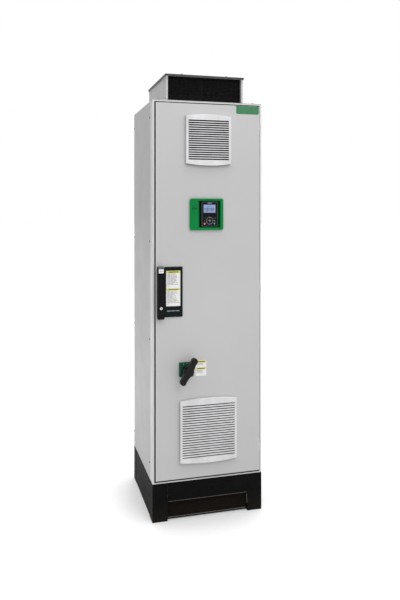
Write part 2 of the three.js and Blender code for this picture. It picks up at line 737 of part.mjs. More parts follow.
// Frame through the door's cut-out, with a rim on the door's front and a grid behind the filter mat.
function filterHousing(grille) {
  const half = grille.cutout / 2 - 1;
  const inside = half - 3;
  const rim = grille.width / 2 - 6;
  const reach = [RIM_FRONT, DOOR_FRONT + 46];
  const gridDepth = [reach[1] - 3, reach[1]];
  const square = (size, depth) => block(
    [grille.x - size, grille.x + size],
    depth,
    [grille.z - size, grille.z + size],
  );
  const frame = cut(
    join(square(rim, [reach[0], DOOR_FRONT - GAP]), square(half, reach)),
    square(inside, [reach[0] - 1, reach[1] + 1]),
  );
  const grid = [-2, -1, 0, 1, 2].flatMap((step) => {
    const [x, z] = [grille.x + step * inside / 3, grille.z + step * inside / 3];
    return [
      block([x - 2, x + 2], gridDepth, [grille.z - inside - 1, grille.z + inside + 1]),
      block([grille.x - inside - 1, grille.x + inside + 1], gridDepth, [z - 2, z + 2]),
    ];
  });
  return join(frame, ...grid);
}

for (const [level, grille] of [['upper', UPPER_GRILLE], ['lower', LOWER_GRILLE]]) {
  add(door, `${level}_filter_housing`, DARK_PLASTIC, filterHousing(grille));
  add(door, `${level}_grille_cover`, WHITE_PLASTIC, grilleCover(grille));
}

// ---------------------------------------------------------------- operator terminal

const TERMINAL_FRAME = { x: -14, z: 1602, width: 181, height: 166, proud: 12 };
const RECESS = { x: [-59, 60], z: [1532, 1674] };
const RECESS_FLOOR = DOOR_FRONT + 22;
const TERMINAL = { x: 2, z: 1603, width: 92, height: 134, front: DOOR_FRONT - 9 };
const DISPLAY = { x: [-31, 34], z: [1610, 1653], depth: 0.8 };
const KEY_PROUD = 1.4;
const KEY_TRAVEL = 1;
const KEY_DEPTH = 4;
const KEY_SLACK = 0.4;
const RING_CENTRE = [1.5, 1568];

const KEYS = {
  key_f1: { at: [-27, 1597], oval: true },
  key_f2: { at: [-9, 1597], oval: true },
  key_f3: { at: [9.5, 1597], oval: true },
  key_f4: { at: [28, 1597], oval: true },
  key_escape: { at: [-27, 1582.5], radius: 5 },
  key_home: { at: [29, 1582.5], radius: 5 },
  key_local_remote: { at: [-27, 1567.5], radius: 5 },
  key_information: { at: [29, 1567.5], radius: 5 },
  key_stop: { at: [-26, 1552.5], radius: 6.5, finish: RED_PLASTIC },
  key_run: { at: [28, 1552.5], radius: 5.5, finish: GREEN_PLASTIC },
  key_confirm: { at: RING_CENTRE, radius: 8 },
};

// A key or the well that holds it, from its front face back, about the key's own centre.
function keyBody({ oval, radius }, slack, reach) {
  if (oval) {
    return plate(roundedRect(0, 0, 12 + 2 * slack, 7 + 2 * slack, 3.4 + slack), reach, 4);
  }
  return rodY(radius + slack, 0, 0, reach, 20);
}

function terminalFrame() {
  const { x, z, width, height, proud } = TERMINAL_FRAME;
  const front = DOOR_FRONT - proud;
  const tub = block(
    [RECESS.x[0] - 2.5, RECESS.x[1] + 2.5],
    [front + 1, RECESS_FLOOR + 2.5],
    [RECESS.z[0] - 2.5, RECESS.z[1] + 2.5],
  );
  return cut(
    join(plate(roundedRect(x, z, width, height, 10), [front, DOOR_FRONT - GAP], 8), tub),
    block(RECESS.x, [front - 1, RECESS_FLOOR], RECESS.z),
  );
}

function terminalBody() {
  const { x, z, width, height, front } = TERMINAL;
  const body = plate(roundedRect(x, z, width, height, 6), [front, RECESS_FLOOR - GAP], 6);
  const wells = Object.values(KEYS).map((key) => keyBody(key, KEY_SLACK, [front - 1, front + KEY_DEPTH])
    .translate(key.at[0], 0, key.at[1]));
  const display = block(DISPLAY.x, [front - 1, front + DISPLAY.depth], DISPLAY.z);
  return cut(body, display, ...wells);
}

add(terminal, 'terminal_frame', GREEN_PLASTIC, terminalFrame());
add(terminal, 'operator_terminal', BLACK_PLASTIC, terminalBody());
for (const [name, key] of Object.entries(KEYS)) {
  const reach = [-KEY_PROUD, KEY_DEPTH - KEY_TRAVEL - GAP];
  const mesh = add(terminal, name, key.finish ?? BLACK_PLASTIC, keyBody(key, 0, reach));
  mesh.position.set(key.at[0], TERMINAL.front, key.at[1]);
}

// ---------------------------------------------------------------- swing handle and lock rods

const ESCUTCHEON = { x: [-280, -144], z: [1068, 1329], front: DOOR_FRONT - 6 };
const LEVER_WIDTH = 35;
const LEVER = { x: [HANDLE_X - LEVER_WIDTH / 2, HANDLE_X + LEVER_WIDTH / 2], bottom: 1061, top: 1332 };
const LEVER_FRONT = DOOR_FRONT - 30;
const LEVER_BACK = ESCUTCHEON.front - 2 * GAP;
const LIFT_Y = LEVER_FRONT + 3;
const LIFT_Z = 1296;
const LIFT_KNUCKLE = 3;
const LIFT_PIN = 1.4;
const LOCK_Z = 1118;
const LOCK_RADIUS = 7.5;
const PINION = [DOOR_FRONT + 7, DOOR_FRONT + 19];
const ROD = [DOOR_FRONT + 8, DOOR_FRONT + 14];

// A rod along X, about the axis that the lever lifts on.
function rodX(radius, [x0, x1]) {
  return new THREE.CylinderGeometry(radius, radius, x1 - x0, 16)
    .rotateZ(Math.PI / 2)
    .translate((x0 + x1) / 2, LIFT_Y, LIFT_Z);
}

function escutcheon() {
  const { x: [left, right], z: [low, high], front } = ESCUTCHEON;
  const outline = roundedRect((left + right) / 2, (low + high) / 2, right - left, high - low, 4);
  return cut(
    plate(outline, [front, DOOR_FRONT - GAP], 3),
    rodY(10, HANDLE_X, HANDLE_Z, [front - 1, DOOR_FRONT]),
    block([left + 48, left + 124], [front - 1, front + 0.6], [low + 56, high - 20]),
  );
}

const LIFT_HALF = 7;
const hubKnuckle = [HANDLE_X - LIFT_HALF, HANDLE_X + LIFT_HALF];

// Head of the handle, turned by the lever: block in front, boss through the door, pinion behind.
function handleHub() {
  const [left, right] = LEVER.x;
  const outline = roundedRect(HANDLE_X, (LIFT_Z + LEVER.top) / 2, LEVER_WIDTH, LEVER.top - LIFT_Z, 3);
  const head = cut(
    plate(outline, [LEVER_FRONT, LEVER_BACK], 3),
    rodX(LIFT_KNUCKLE + 0.5, [hubKnuckle[0] - GAP, hubKnuckle[1] + GAP]),
  );
  return join(
    head,
    rodX(LIFT_KNUCKLE, [left, hubKnuckle[0] - GAP]),
    rodX(LIFT_KNUCKLE, [hubKnuckle[1] + GAP, right]),
    rodX(LIFT_PIN, [left + 1, right - 1]),
    rodY(9, HANDLE_X, HANDLE_Z, [LEVER_BACK - 1, PINION[0] + 1]),
    rodY(7, HANDLE_X, HANDLE_Z, PINION, 20),
  );
}

function handleLever() {
  const top = LIFT_Z - LIFT_KNUCKLE - 0.5;
  const outline = roundedRect(HANDLE_X, (LEVER.bottom + top) / 2, LEVER_WIDTH, top - LEVER.bottom, 3);
  const body = join(
    plate(outline, [LEVER_FRONT, LEVER_BACK], 3),
    rodX(LIFT_KNUCKLE, hubKnuckle),
    block(hubKnuckle, [LIFT_Y - LIFT_KNUCKLE + 0.3, LIFT_Y + LIFT_KNUCKLE - 0.3], [top - 1, LIFT_Z]),
  );
  return cut(
    body,
    rodX(LIFT_PIN + 0.3, LEVER.x),
    block([LEVER.x[0] + 4, LEVER.x[1] - 4], [LEVER_BACK - 8, LEVER_BACK + 1], [LEVER.bottom + 14, top - 14]),
    rodY(LOCK_RADIUS + GAP, HANDLE_X, LOCK_Z, [LEVER_FRONT - 1, LEVER_BACK]),
  );
}

function lockBarrel() {
  return cut(
    rodY(LOCK_RADIUS, HANDLE_X, LOCK_Z, [LEVER_FRONT - 1.2, LEVER_BACK - 3]),
    block([HANDLE_X - 1, HANDLE_X + 1], [LEVER_FRONT - 2, LEVER_FRONT + 8], [LOCK_Z - 4, LOCK_Z + 4]),
  );
}

// A lock rod beside the pinion, with the foot that reaches back to the frame's sealing plane.
function lockRod(across, foot, from, to) {
  const inner = to - Math.sign(to - from) * 14;
  return join(
    block(across, ROD, span(from, to)),
    block(span(Math.min(across[0], foot[0]), foot[1]), ROD, span(inner, to)),
    block(foot, [ROD[0], SEAL_PLANE + 14], span(inner, to)),
  );
}

const rightRod = [HANDLE_X + 7.5, HANDLE_X + 17];
const leftRod = [HANDLE_X - 15, HANDLE_X - 7.5];
add(door, 'handle_escutcheon', SLATE_PLASTIC, escutcheon());
add(door, 'handle_hub', BLACK_PLASTIC, handleHub());
add(door, 'handle_lever', BLACK_PLASTIC, handleLever());
add(door, 'lock_barrel', STEEL, lockBarrel());
add(door, 'upper_lock_rod', STEEL, lockRod(leftRod, [-266, -254], HANDLE_Z - 24, SEAL_TOP - 2));
add(door, 'lower_lock_rod', STEEL, lockRod(rightRod, rightRod, HANDLE_Z + 24, SEAL_BOTTOM + 2));

// ---------------------------------------------------------------- rotary disconnector handle

const ROTARY_PLATE = 75;
const GRIP_TURN = Math.PI / 6;
const GRIP_HALF_SPAN = 60.5;
const GRIP_END = 16;
const GRIP_WAIST = 13.5;
const GRIP_MIDDLE = 24;
const GRIP = [-HANDLE_REACH, -HANDLE_REACH + 28];
const COLLAR = [-34, -18];
const SPINDLE = 9;

function rotaryPlate() {
  const outline = roundedRect(ROTARY_X, ROTARY_Z, ROTARY_PLATE, ROTARY_PLATE, 3);
  return cut(
    join(
      plate(outline, [DOOR_FRONT + COLLAR[1] + 4, DOOR_FRONT - GAP], 3),
      rodY(33, ROTARY_X, ROTARY_Z, [DOOR_FRONT + COLLAR[1] - 4, DOOR_FRONT - 10], 32),
    ),
    rodY(SPINDLE + 0.5, ROTARY_X, ROTARY_Z, [DOOR_FRONT - 40, DOOR_FRONT + 1]),
  );
}

// Dog-bone outline about the spindle: round ends, waisted towards them, wide in the middle.
function gripOutline() {
  const s = GRIP_HALF_SPAN;
  const wrap = Math.PI / 8;
  const [endX, endZ] = [GRIP_END * Math.cos(wrap), s - GRIP_END * Math.sin(wrap)];
  const outline = new THREE.Shape();
  outline.absarc(0, s, GRIP_END, -wrap, Math.PI + wrap);
  outline.quadraticCurveTo(-GRIP_WAIST, s / 2, -GRIP_MIDDLE, 0);
  outline.quadraticCurveTo(-GRIP_WAIST, -s / 2, -endX, -endZ);
  outline.absarc(0, -s, GRIP_END, Math.PI - wrap, Math.PI * 2 + wrap);
  outline.quadraticCurveTo(GRIP_WAIST, -s / 2, GRIP_MIDDLE, 0);
  outline.quadraticCurveTo(GRIP_WAIST, s / 2, endX, endZ);
  outline.closePath();
  return outline;
}

function rotaryHandle() {
  const socket = DOOR_BACK - DOOR_FRONT + 6;
  return join(
    plate(gripOutline(), GRIP, 8),
    rodY(27, 0, 0, [GRIP[0] + 6, COLLAR[0] + 8], 28),
    rodY(SPINDLE, 0, 0, [COLLAR[0], socket], 20),
    rodY(SPINDLE + 5, 0, 0, [socket - 8, socket + 10], 20),
  );
}

add(door, 'rotary_plate', BLACK_PLASTIC, rotaryPlate());
const rotary = add(door, 'rotary_handle', BLACK_PLASTIC, rotaryHandle());
rotary.position.set(ROTARY_X, DOOR_FRONT, ROTARY_Z);
rotary.rotation.y = GRIP_TURN;

// ---------------------------------------------------------------- origin

// The origin is under the middle of the whole object, which the rotary handle makes deeper at the front.
drive.position.y = (HANDLE_REACH + DOOR_PROUD) / 2;

export default drive;
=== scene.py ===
"""The look of the floor-standing variable frequency drive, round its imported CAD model. Metres, +Z up."""

import json
import math
import random

import bmesh
import bpy
from mathutils import Matrix, Vector


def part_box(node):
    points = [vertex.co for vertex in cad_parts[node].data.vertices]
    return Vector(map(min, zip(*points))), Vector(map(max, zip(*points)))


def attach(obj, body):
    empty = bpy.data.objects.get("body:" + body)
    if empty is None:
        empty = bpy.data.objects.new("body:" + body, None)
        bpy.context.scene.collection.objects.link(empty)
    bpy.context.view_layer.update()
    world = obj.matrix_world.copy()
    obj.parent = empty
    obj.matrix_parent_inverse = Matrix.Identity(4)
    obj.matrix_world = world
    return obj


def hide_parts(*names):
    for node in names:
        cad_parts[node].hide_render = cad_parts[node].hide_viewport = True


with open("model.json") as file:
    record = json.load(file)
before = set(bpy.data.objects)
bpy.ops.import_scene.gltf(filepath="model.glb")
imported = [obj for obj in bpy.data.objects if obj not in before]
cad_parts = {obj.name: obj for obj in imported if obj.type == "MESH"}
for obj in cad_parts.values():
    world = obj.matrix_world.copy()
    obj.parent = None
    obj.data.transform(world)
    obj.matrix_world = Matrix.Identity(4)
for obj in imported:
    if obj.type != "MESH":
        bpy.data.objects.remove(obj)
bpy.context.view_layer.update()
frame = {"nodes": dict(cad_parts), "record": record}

# Lengths are in metres, apart from the lens in millimetres. Angles are in degrees.
MM = 0.001
LENS = 39.09
SENSOR_WIDTH = 36
LENS_SHIFT = (-0.0210, -0.1532)
CAMERA_PLACE = (-0.9265, -3.5913, 1.6347)
CAMERA_TURN = -15.91
FLOOR_REACH = 60.0
DOOR_SIDE = 0.284  # X at which the door's face ends
LID_BOLT_X = 0.125
LID_BOLT_INSET = 0.02
PLUG_INSET = 0.038
SIDE_SCREW_LEVELS = (0.29, 0.942, 1.459, 2.114)
REAR_SCREW_LEVELS = (0.25, 0.72, 1.19, 1.66, 2.14)
PLINTH_SCREW_REACH = 0.206
PLINTH_SCREW_LEVELS = (0.018, 0.182)
PLINTH_FRONT_SCREW_LEVELS = (0.118, 0.182)
INLET_HALF_WIDTH = 0.222
SWITCH_STOPS = (-30, 0, 30, 60)
CREASE = 35  # edges sharper than this are rounded
DOWNWARD = -0.7  # a normal's Z below which a face counts as an underside
NODE_SLOT = {row["node"]: row["material_slot"] for row in frame["record"]["subparts"]}
NODE_BODY = {n: b for b, nodes in frame["record"]["behaviour"]["bodies"].items() for n in nodes}
OUT, BACK, LEFT, RIGHT, UP = (Vector(v) for v in ((0, -1, 0), (0, 1, 0), (-1, 0, 0), (1, 0, 0), (0, 0, 1)))


# ---------------------------------------------------------------- camera, light and floor

def camera():
    """At the photograph's place: level, with the lens shifted down the cabinet."""
    data = bpy.data.cameras.new("camera")
    data.lens = LENS
    data.sensor_width = SENSOR_WIDTH
    data.shift_x, data.shift_y = LENS_SHIFT
    view = bpy.data.objects.new("camera", data)
    view.location = CAMERA_PLACE
    view.rotation_euler = (math.radians(90), 0, math.radians(CAMERA_TURN))
    bpy.context.scene.collection.objects.link(view)
    bpy.context.scene.camera = view


def area_light(name, location, target, size, power):
    """A rectangular lamp that faces its target."""
    data = bpy.data.lights.new(name, "AREA")
    data.shape = "RECTANGLE"
    data.size, data.size_y = size
    data.energy = power
    light = bpy.data.objects.new(name, data)
    light.location = location
    light.rotation_euler = (Vector(target) - Vector(location)).to_track_quat("-Z", "Y").to_euler()
    bpy.context.scene.collection.objects.link(light)


def studio():
    """A pale room: brightest behind the object, with soft light from the front and above."""
    area_light("key_light", (1.0, -4.7, 4.2), (0, 0, 1.2), (2.8, 2.6), 62)
    area_light("fill_light", (-4.2, -1.6, 2.4), (0, 0, 1.1), (2.0, 3.0), 4)
    area_light("ceiling_light", (0, 0, 6.5), (0, 0, 0), (8.0, 8.0), 190)
    area_light("rear_light", (0.5, 4.4, 3.0), (0, 0, 1.2), (3.0, 2.6), 24)
    world = bpy.data.worlds.new("studio")
    world.use_nodes = True
    nodes, links = world.node_tree.nodes, world.node_tree.links
    way = nodes.new("ShaderNodeSeparateXYZ")
    links.new(nodes.new("ShaderNodeTexCoord").outputs["Generated"], way.inputs["Vector"])

    def ramp(axis, *limits):
        made = nodes.new("ShaderNodeMapRange")
        links.new(way.outputs[axis], made.inputs["Value"])
        for socket, value in zip(("From Min", "From Max", "To Min", "To Max"), limits):
            made.inputs[socket].default_value = value
        return made.outputs["Result"]

    def combined(operation, *values):
        made = nodes.new("ShaderNodeMath")
        made.operation = operation
        for socket, value in zip(made.inputs, values):
            links.new(value, socket)
        return made.outputs[0]

    backdrop = combined("MULTIPLY", ramp("Y", 0.5, 0.7, 0, 1), ramp("X", -0.35, -0.05, 0, 1))
    strength = combined("MAXIMUM", backdrop, ramp("X", -0.35, -0.05, 0.46, 0.73))
    nodes["Background"].inputs["Color"].default_value = (1, 1, 1, 1)
    links.new(strength, nodes["Background"].inputs["Strength"])
    bpy.context.scene.world = world
    bpy.context.scene.view_settings.view_transform = "Standard"


# ---------------------------------------------------------------- materials

def linear(rgb):
    """Display values from 0 to 255 as scene-linear colour."""
    values = (c / 255 for c in rgb)
    return tuple(c / 12.92 if c <= 0.04045 else ((c + 0.055) / 1.055) ** 2.4 for c in values)


class Finish:
    """One procedural material, built up from its shader by adding layers."""

    def __init__(self, name, rgb, roughness, metallic=0.0, **sockets):
        self.material = bpy.data.materials.new(name)
        self.material.use_nodes = True
        self.tree = self.material.node_tree
        self.shader = self.tree.nodes["Principled BSDF"]
        self.rgb = linear(rgb)
        self.shader.inputs["Base Color"].default_value = (*self.rgb, 1)
        self.shader.inputs["Roughness"].default_value = roughness
        self.shader.inputs["Metallic"].default_value = metallic
        for socket, value in sockets.items():
            self.shader.inputs[socket.replace("_", " ")].default_value = value
        self.place = self.node("ShaderNodeTexCoord").outputs["Object"]
        self.relief = None

    def node(self, kind, inputs=None, **settings):
        made = self.tree.nodes.new(kind)
        for key, value in settings.items():
            setattr(made, key, value)
        for key, value in (inputs or {}).items():
            if isinstance(value, bpy.types.NodeSocket):
                self.tree.links.new(value, made.inputs[key])
            else:
                made.inputs[key].default_value = value
        return made

    def noise(self, scale, detail=2.0, stretch=None):
        where = self.place
        if stretch:
            where = self.node("ShaderNodeMapping", {"Vector": where, "Scale": stretch}).outputs["Vector"]
        made = self.node("ShaderNodeTexNoise", {"Vector": where, "Scale": scale, "Detail": detail})
        return made.outputs["Fac"]

    def cells(self, scale, feature="F1", output="Distance"):
        made = self.node("ShaderNodeTexVoronoi", {"Vector": self.place, "Scale": scale}, feature=feature)
        return made.outputs[output]

    def spread(self, value, low, high, start=0.3, end=0.7):
        """The value's range from start to end, mapped to low to high."""
        inputs = {"Value": value, "From Min": start, "From Max": end, "To Min": low, "To Max": high}
        return self.node("ShaderNodeMapRange", inputs).outputs["Result"]

    def tint(self, mask, rgb, amount=1.0):
        """Paints rgb over the colour so far, where the mask is high."""
        base = self.shader.inputs["Base Color"]
        mix = self.node("ShaderNodeMix", data_type="RGBA")
        if base.is_linked:
            self.tree.links.new(base.links[0].from_socket, mix.inputs["A"])
        else:
            mix.inputs["A"].default_value = (*self.rgb, 1)
        mix.inputs["B"].default_value = (*linear(rgb), 1)
        strength = self.node("ShaderNodeMath", {0: mask, 1: amount}, operation="MULTIPLY", use_clamp=True)
        self.tree.links.new(strength.outputs[0], mix.inputs["Factor"])
        self.tree.links.new(mix.outputs["Result"], base)

    def gloss(self, mask, low, high):
        self.tree.links.new(self.spread(mask, low, high), self.shader.inputs["Roughness"])

    def bump(self, height, distance):
        inputs = {"Height": height, "Distance": distance, "Strength": 1.0}
        if self.relief:
            inputs["Normal"] = self.relief
        self.relief = self.node("ShaderNodeBump", inputs).outputs["Normal"]
        self.tree.links.new(self.relief, self.shader.inputs["Normal"])


def shade(rgb, factor):
    """A colour made darker or lighter by a factor."""
    return tuple(min(255, c * factor) for c in rgb)


def powder_coat(name, rgb, roughness, peel, edge=None):
    """Baked powder: fine orange peel, pinholes and a slow drift of tone, with a painted highlight towards and
    past an edge.
    """
    made = Finish(name, rgb, roughness, Specular_IOR_Level=0.45)
    made.tint(made.spread(made.noise(1.3, 3), 0, 1), shade(rgb, 0.955))
    made.tint(made.spread(made.noise(420, 2), 0, 1, 0.42, 0.62), shade(rgb, 1.035), 0.6)
    made.gloss(made.noise(9, 4), roughness - 0.06, roughness + 0.08)
    made.bump(made.noise(620, 2), peel * MM)
    made.bump(made.cells(1500), 0.25 * peel * MM)
    if edge:
        # Painted highlight: lighter paint where the door's rounded side edges would catch the light.
        across = made.node("ShaderNodeSeparateXYZ", {"Vector": made.place}).outputs["X"]
        aside = made.node("ShaderNodeMath", {0: across}, operation="ABSOLUTE").outputs[0]
        made.tint(made.spread(aside, 0, 1, edge - 3 * MM, edge), shade(rgb, 1.22), 0.9)
    return made.material


def black_powder(name, rgb, roughness):
    """Coarser black powder with a little floor dust towards the bottom."""
    made = Finish(name, rgb, roughness, Specular_IOR_Level=0.08)
    height = made.node("ShaderNodeSeparateXYZ", {"Vector": made.place}).outputs["Z"]
    low = made.spread(height, 1, 0, 0.0, 0.11)
    dust = made.node("ShaderNodeMath", {0: low, 1: made.noise(30, 6)}, operation="MULTIPLY").outputs[0]
    made.tint(made.spread(made.cells(700), 0, 1, 0.1, 0.6), shade(rgb, 1.5), 0.5)
    made.tint(dust, (92, 84, 74), 0.15)
    made.gloss(made.noise(60, 3), roughness - 0.08, roughness + 0.1)
    made.bump(made.cells(620), 0.14 * MM)
    made.bump(made.noise(1300, 2), 0.05 * MM)
    return made.material


def moulded(name, rgb, roughness, grain=0.05, **sockets):
    """Moulded plastic: spark-eroded grain, faint flow marks and uneven gloss."""
    made = Finish(name, rgb, roughness, **{"Specular_IOR_Level": 0.1, **sockets})
    made.tint(made.spread(made.noise(14, 3, (1, 1, 0.35)), 0, 1), shade(rgb, 0.9))
    made.tint(made.spread(made.noise(900, 1), 0, 1, 0.45, 0.6), shade(rgb, 1.12), 0.35)
    made.gloss(made.noise(35, 3), roughness - 0.07, roughness + 0.08)
    made.bump(made.cells(1100, "SMOOTH_F1"), grain * MM)
    made.bump(made.noise(2200, 1), 0.4 * grain * MM)
    return made.material


def galvanised(name, rgb):
    """Zinc coat with its spangle: crystals of differing brightness and gloss."""
    made = Finish(name, rgb, 0.38, 0.95)
    crystal = made.cells(75, "F1", "Color")
    tone = made.node("ShaderNodeSeparateColor", {"Color": crystal}).outputs[0]
    made.tint(made.spread(tone, 0, 1, 0, 1), shade(rgb, 0.72))
    made.tint(made.spread(made.noise(6, 4), 0, 1), shade(rgb, 0.85), 0.5)
    made.gloss(tone, 0.3, 0.48)
    made.bump(made.cells(75, "DISTANCE_TO_EDGE"), 0.05 * MM)
    return made.material


def drawn_steel(name, rgb, roughness=0.3, stretch=(1, 1, 0.02)):
    """Steel or aluminium with drawing lines along one way and faint stains."""
    made = Finish(name, rgb, roughness, 1.0)
    lines = made.noise(1800, 2, stretch)
    made.tint(made.spread(lines, 0, 1), shade(rgb, 0.82))
    made.tint(made.spread(made.noise(25, 4), 0, 1, 0.55, 0.8), shade(rgb, 0.6), 0.35)
    made.gloss(lines, roughness - 0.08, roughness + 0.12)
    made.bump(lines, 0.02 * MM)
    return made.material


def foam_rubber(name, rgb):
    """Dull rubber with the open cells of foam."""
    made = Finish(name, rgb, 0.85, Sheen_Weight=0.15)
    made.tint(made.spread(made.cells(900), 0, 1, 0.1, 0.5), shade(rgb, 1.7), 0.6)
    made.gloss(made.noise(90, 3), 0.75, 0.95)
    made.bump(made.cells(900), 0.3 * MM)
    return made.material


def fibre_mat(name, rgb):
    """Layered fibres: crossing streaks in colour and relief."""
    made = Finish(name, rgb, 0.95, Sheen_Weight=0.3)
    across = made.noise(260, 5, (0.12, 1, 1))
    along = made.noise(260, 5, (1, 1, 0.12))
    made.tint(made.spread(across, 0, 1, 0.35, 0.65), shade(rgb, 0.72))
    made.tint(made.spread(along, 0, 1, 0.4, 0.7), shade(rgb, 1.1), 0.6)
    made.gloss(along, 0.85, 1.0)
    made.bump(across, 0.8 * MM)
    made.bump(along, 0.8 * MM)
    return made.material


def printed_film(name, rgb, roughness=0.35):
    """Thin printed film under a clear coat, a little uneven where it is stuck on."""
    made = Finish(name, rgb, roughness, Coat_Weight=0.25, Coat_Roughness=0.2)
    made.tint(made.spread(made.noise(45, 4), 0, 1), shade(rgb, 0.95))
    made.gloss(made.noise(70, 3), roughness - 0.08, roughness + 0.1)
    made.bump(made.noise(160, 3), 0.03 * MM)
    return made.material


def lit_display(name, rgb):
    """Backlit liquid crystal: a slow fall-off of light and the grid of its dots."""
    made = Finish(name, rgb, 0.18, Coat_Weight=0.5, Coat_Roughness=0.05)
    dots = made.node("ShaderNodeTexBrick", {
        "Vector": made.node("ShaderNodeVectorRotate", {"Vector": made.place, "Angle": math.pi / 2},
                            rotation_type="X_AXIS").outputs["Vector"],
        "Scale": 1.0, "Mortar Size": 0.00006, "Brick Width": 0.0005, "Row Height": 0.0005,
    }, offset=0.0)
    made.tint(dots.outputs["Fac"], shade(rgb, 0.8), 0.6)
    made.tint(made.spread(made.noise(22, 2), 0, 1), shade(rgb, 1.15), 0.6)
    made.gloss(made.noise(40, 2), 0.14, 0.24)
    colour = made.shader.inputs["Base Color"].links[0].from_socket
    made.tree.links.new(colour, made.shader.inputs["Emission Color"])
    made.shader.inputs["Emission Strength"].default_value = 0.25
    return made.material


def studio_floor(name, rgb):
    """Pale floor that glows a little more with distance, so it meets the white room without a line."""
    made = Finish(name, rgb, 0.7)
    away = made.node("ShaderNodeVectorMath", {0: made.place}, operation="LENGTH").outputs["Value"]
    made.tree.links.new(made.spread(away, 0.16, 0.72, 0.34, 1.5), made.shader.inputs["Emission Strength"])
    made.shader.inputs["Emission Color"].default_value = (1, 1, 1, 1)
    made.tint(made.spread(made.noise(0.8, 4), 0, 1), shade(rgb, 0.99))
    made.bump(made.noise(200, 3), 0.05 * MM)
    return made.material


MATERIALS = {
    "frame_paint": powder_coat("frame_paint", (235, 234, 234), 0.42, 0.05),
    "light_paint": powder_coat("light_paint", (200, 199, 200), 0.46, 0.05),
    # The door's paint carries a painted highlight along its left and right edges.
    "door_paint": powder_coat("door_paint", (206, 205, 206), 0.46, 0.05, edge=DOOR_SIDE),
    # Lid paint is dark grey as painted shade, so the lid's rims read as shaded under its overhang.
    "lid_paint": powder_coat("lid_paint", (46, 46, 48), 0.42, 0.05),
    "black_paint": black_powder("black_paint", (4, 4, 4), 0.65),
    "inlet_screen": black_powder("inlet_screen", (22, 18, 15), 0.65),
    "outlet_screen": black_powder("outlet_screen", (12, 12, 12), 0.65),
    "galvanised_steel": galvanised("galvanised_steel", (196, 199, 202)),
    "steel": drawn_steel("steel", (184, 184, 180)),
    "module_steel": drawn_steel("module_steel", (200, 202, 204), 0.34),
    "grey_plastic": moulded("grey_plastic", (112, 116, 119), 0.5),
    "fuse_ceramic": moulded("fuse_ceramic", (232, 229, 220), 0.2, 0.01, Coat_Weight=0.6),
    "gasket_rubber": foam_rubber("gasket_rubber", (26, 26, 26)),
    "slate_plastic": moulded("slate_plastic", (9, 18, 22), 0.42),
    "black_plastic": moulded("black_plastic", (9, 9, 12), 0.42),
    "grille_plastic": moulded("grille_plastic", (244, 243, 245), 0.45, 0.03),
    # Dark grey as painted shade inside the filter housings; their own plastic is light grey.
    "housing_plastic": moulded("housing_plastic", (30, 30, 31), 0.55),
    "green_plastic": moulded("green_plastic", (0, 136, 66), 0.4),
    "terminal_plastic": moulded("terminal_plastic", (19, 22, 27), 0.4),
    "rotary_plate_plastic": moulded("rotary_plate_plastic", (30, 84, 62), 0.42),
    "rotary_grip_plastic": moulded("rotary_grip_plastic", (4, 5, 6), 0.28, 0.04, Specular_IOR_Level=0.16),
    "lock_chrome": drawn_steel("lock_chrome", (206, 205, 202), 0.22, (0.02, 1, 1)),
    "key_black": moulded("key_black", (5, 5, 7), 0.6),
    "key_red": moulded("key_red", (176, 44, 56), 0.45),
    "key_green": moulded("key_green", (24, 116, 84), 0.45),
    "display_glass": lit_display("display_glass", (128, 146, 186)),
    "cap_plastic": moulded("cap_plastic", (122, 122, 126), 0.45),
    "label_film": printed_film("label_film", (252, 252, 250)),
    "nameplate": printed_film("nameplate", (4, 122, 66), 0.3),
    # Near-black: the shade behind the louvres painted into the mat's fibre colour.
    "filter_mat": fibre_mat("filter_mat", (26, 26, 26)),
    "screw_steel": drawn_steel("screw_steel", (190, 190, 186), 0.28, (1, 0.05, 1)),
}
BAND_YELLOW = printed_film("band_yellow", (232, 228, 96))
PRINT_GREY = printed_film("print_grey", (166, 167, 168))
PRINT_DARK = printed_film("print_dark", (52, 62, 96))
PRINT_OLIVE = printed_film("print_olive", (92, 88, 30))
PRINT_SMALL = printed_film("print_small", (118, 120, 124))
RING_LIGHT = moulded("ring_light", (176, 178, 182), 0.3, 0.02)
EDGE_GREY = moulded("edge_grey", (86, 112, 100), 0.4, 0.02)
# Darker copy of the frame's green: painted shade that shows the raised pads' relief.
SHADED_GREEN = moulded("shaded_green", (0, 100, 50), 0.42)
# Lighter grey for a painted highlight along the plinth front panel's lower edge.
EDGE_HIGHLIGHT = black_powder("painted_edge_highlight", (92, 88, 84), 0.5)
# Painted shade for the grille covers' downward faces.
UNDERSIDE_SHADE = moulded("underside", (84, 80, 72), 0.6, 0.03)


# ---------------------------------------------------------------- mesh helpers

def piece(name, bm, body, slot, material=None, smooth=True, replaced=()):
    """A bmesh as a finished piece that rides on a body and takes its finish from a slot."""
    made = bpy.data.objects.new(name, mesh_from(bm, name, smooth))
    bpy.context.scene.collection.objects.link(made)
    made.data.materials.append(material or MATERIALS[slot])
    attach(made, body)
    if replaced:
        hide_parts(*replaced)
    return made


def mesh_from(bm, name, smooth):
    bmesh.ops.recalc_face_normals(bm, faces=bm.faces)
    mesh = bpy.data.meshes.new(name)
    bm.to_mesh(mesh)
    bm.free()
    for face in mesh.polygons:
        face.use_smooth = smooth
    return mesh


def round_edges(made, width, segments, by_weight=False):
    """A rounding on every sharp edge, or on each edge by its own weight."""
    bevel = made.modifiers.new("rounded_edges", "BEVEL")
    bevel.width = width
    bevel.segments = segments
    bevel.limit_method = "WEIGHT" if by_weight else "ANGLE"
    bevel.angle_limit = math.radians(CREASE)
    bevel.harden_normals = True
    bevel.use_clamp_overlap = True
    return made


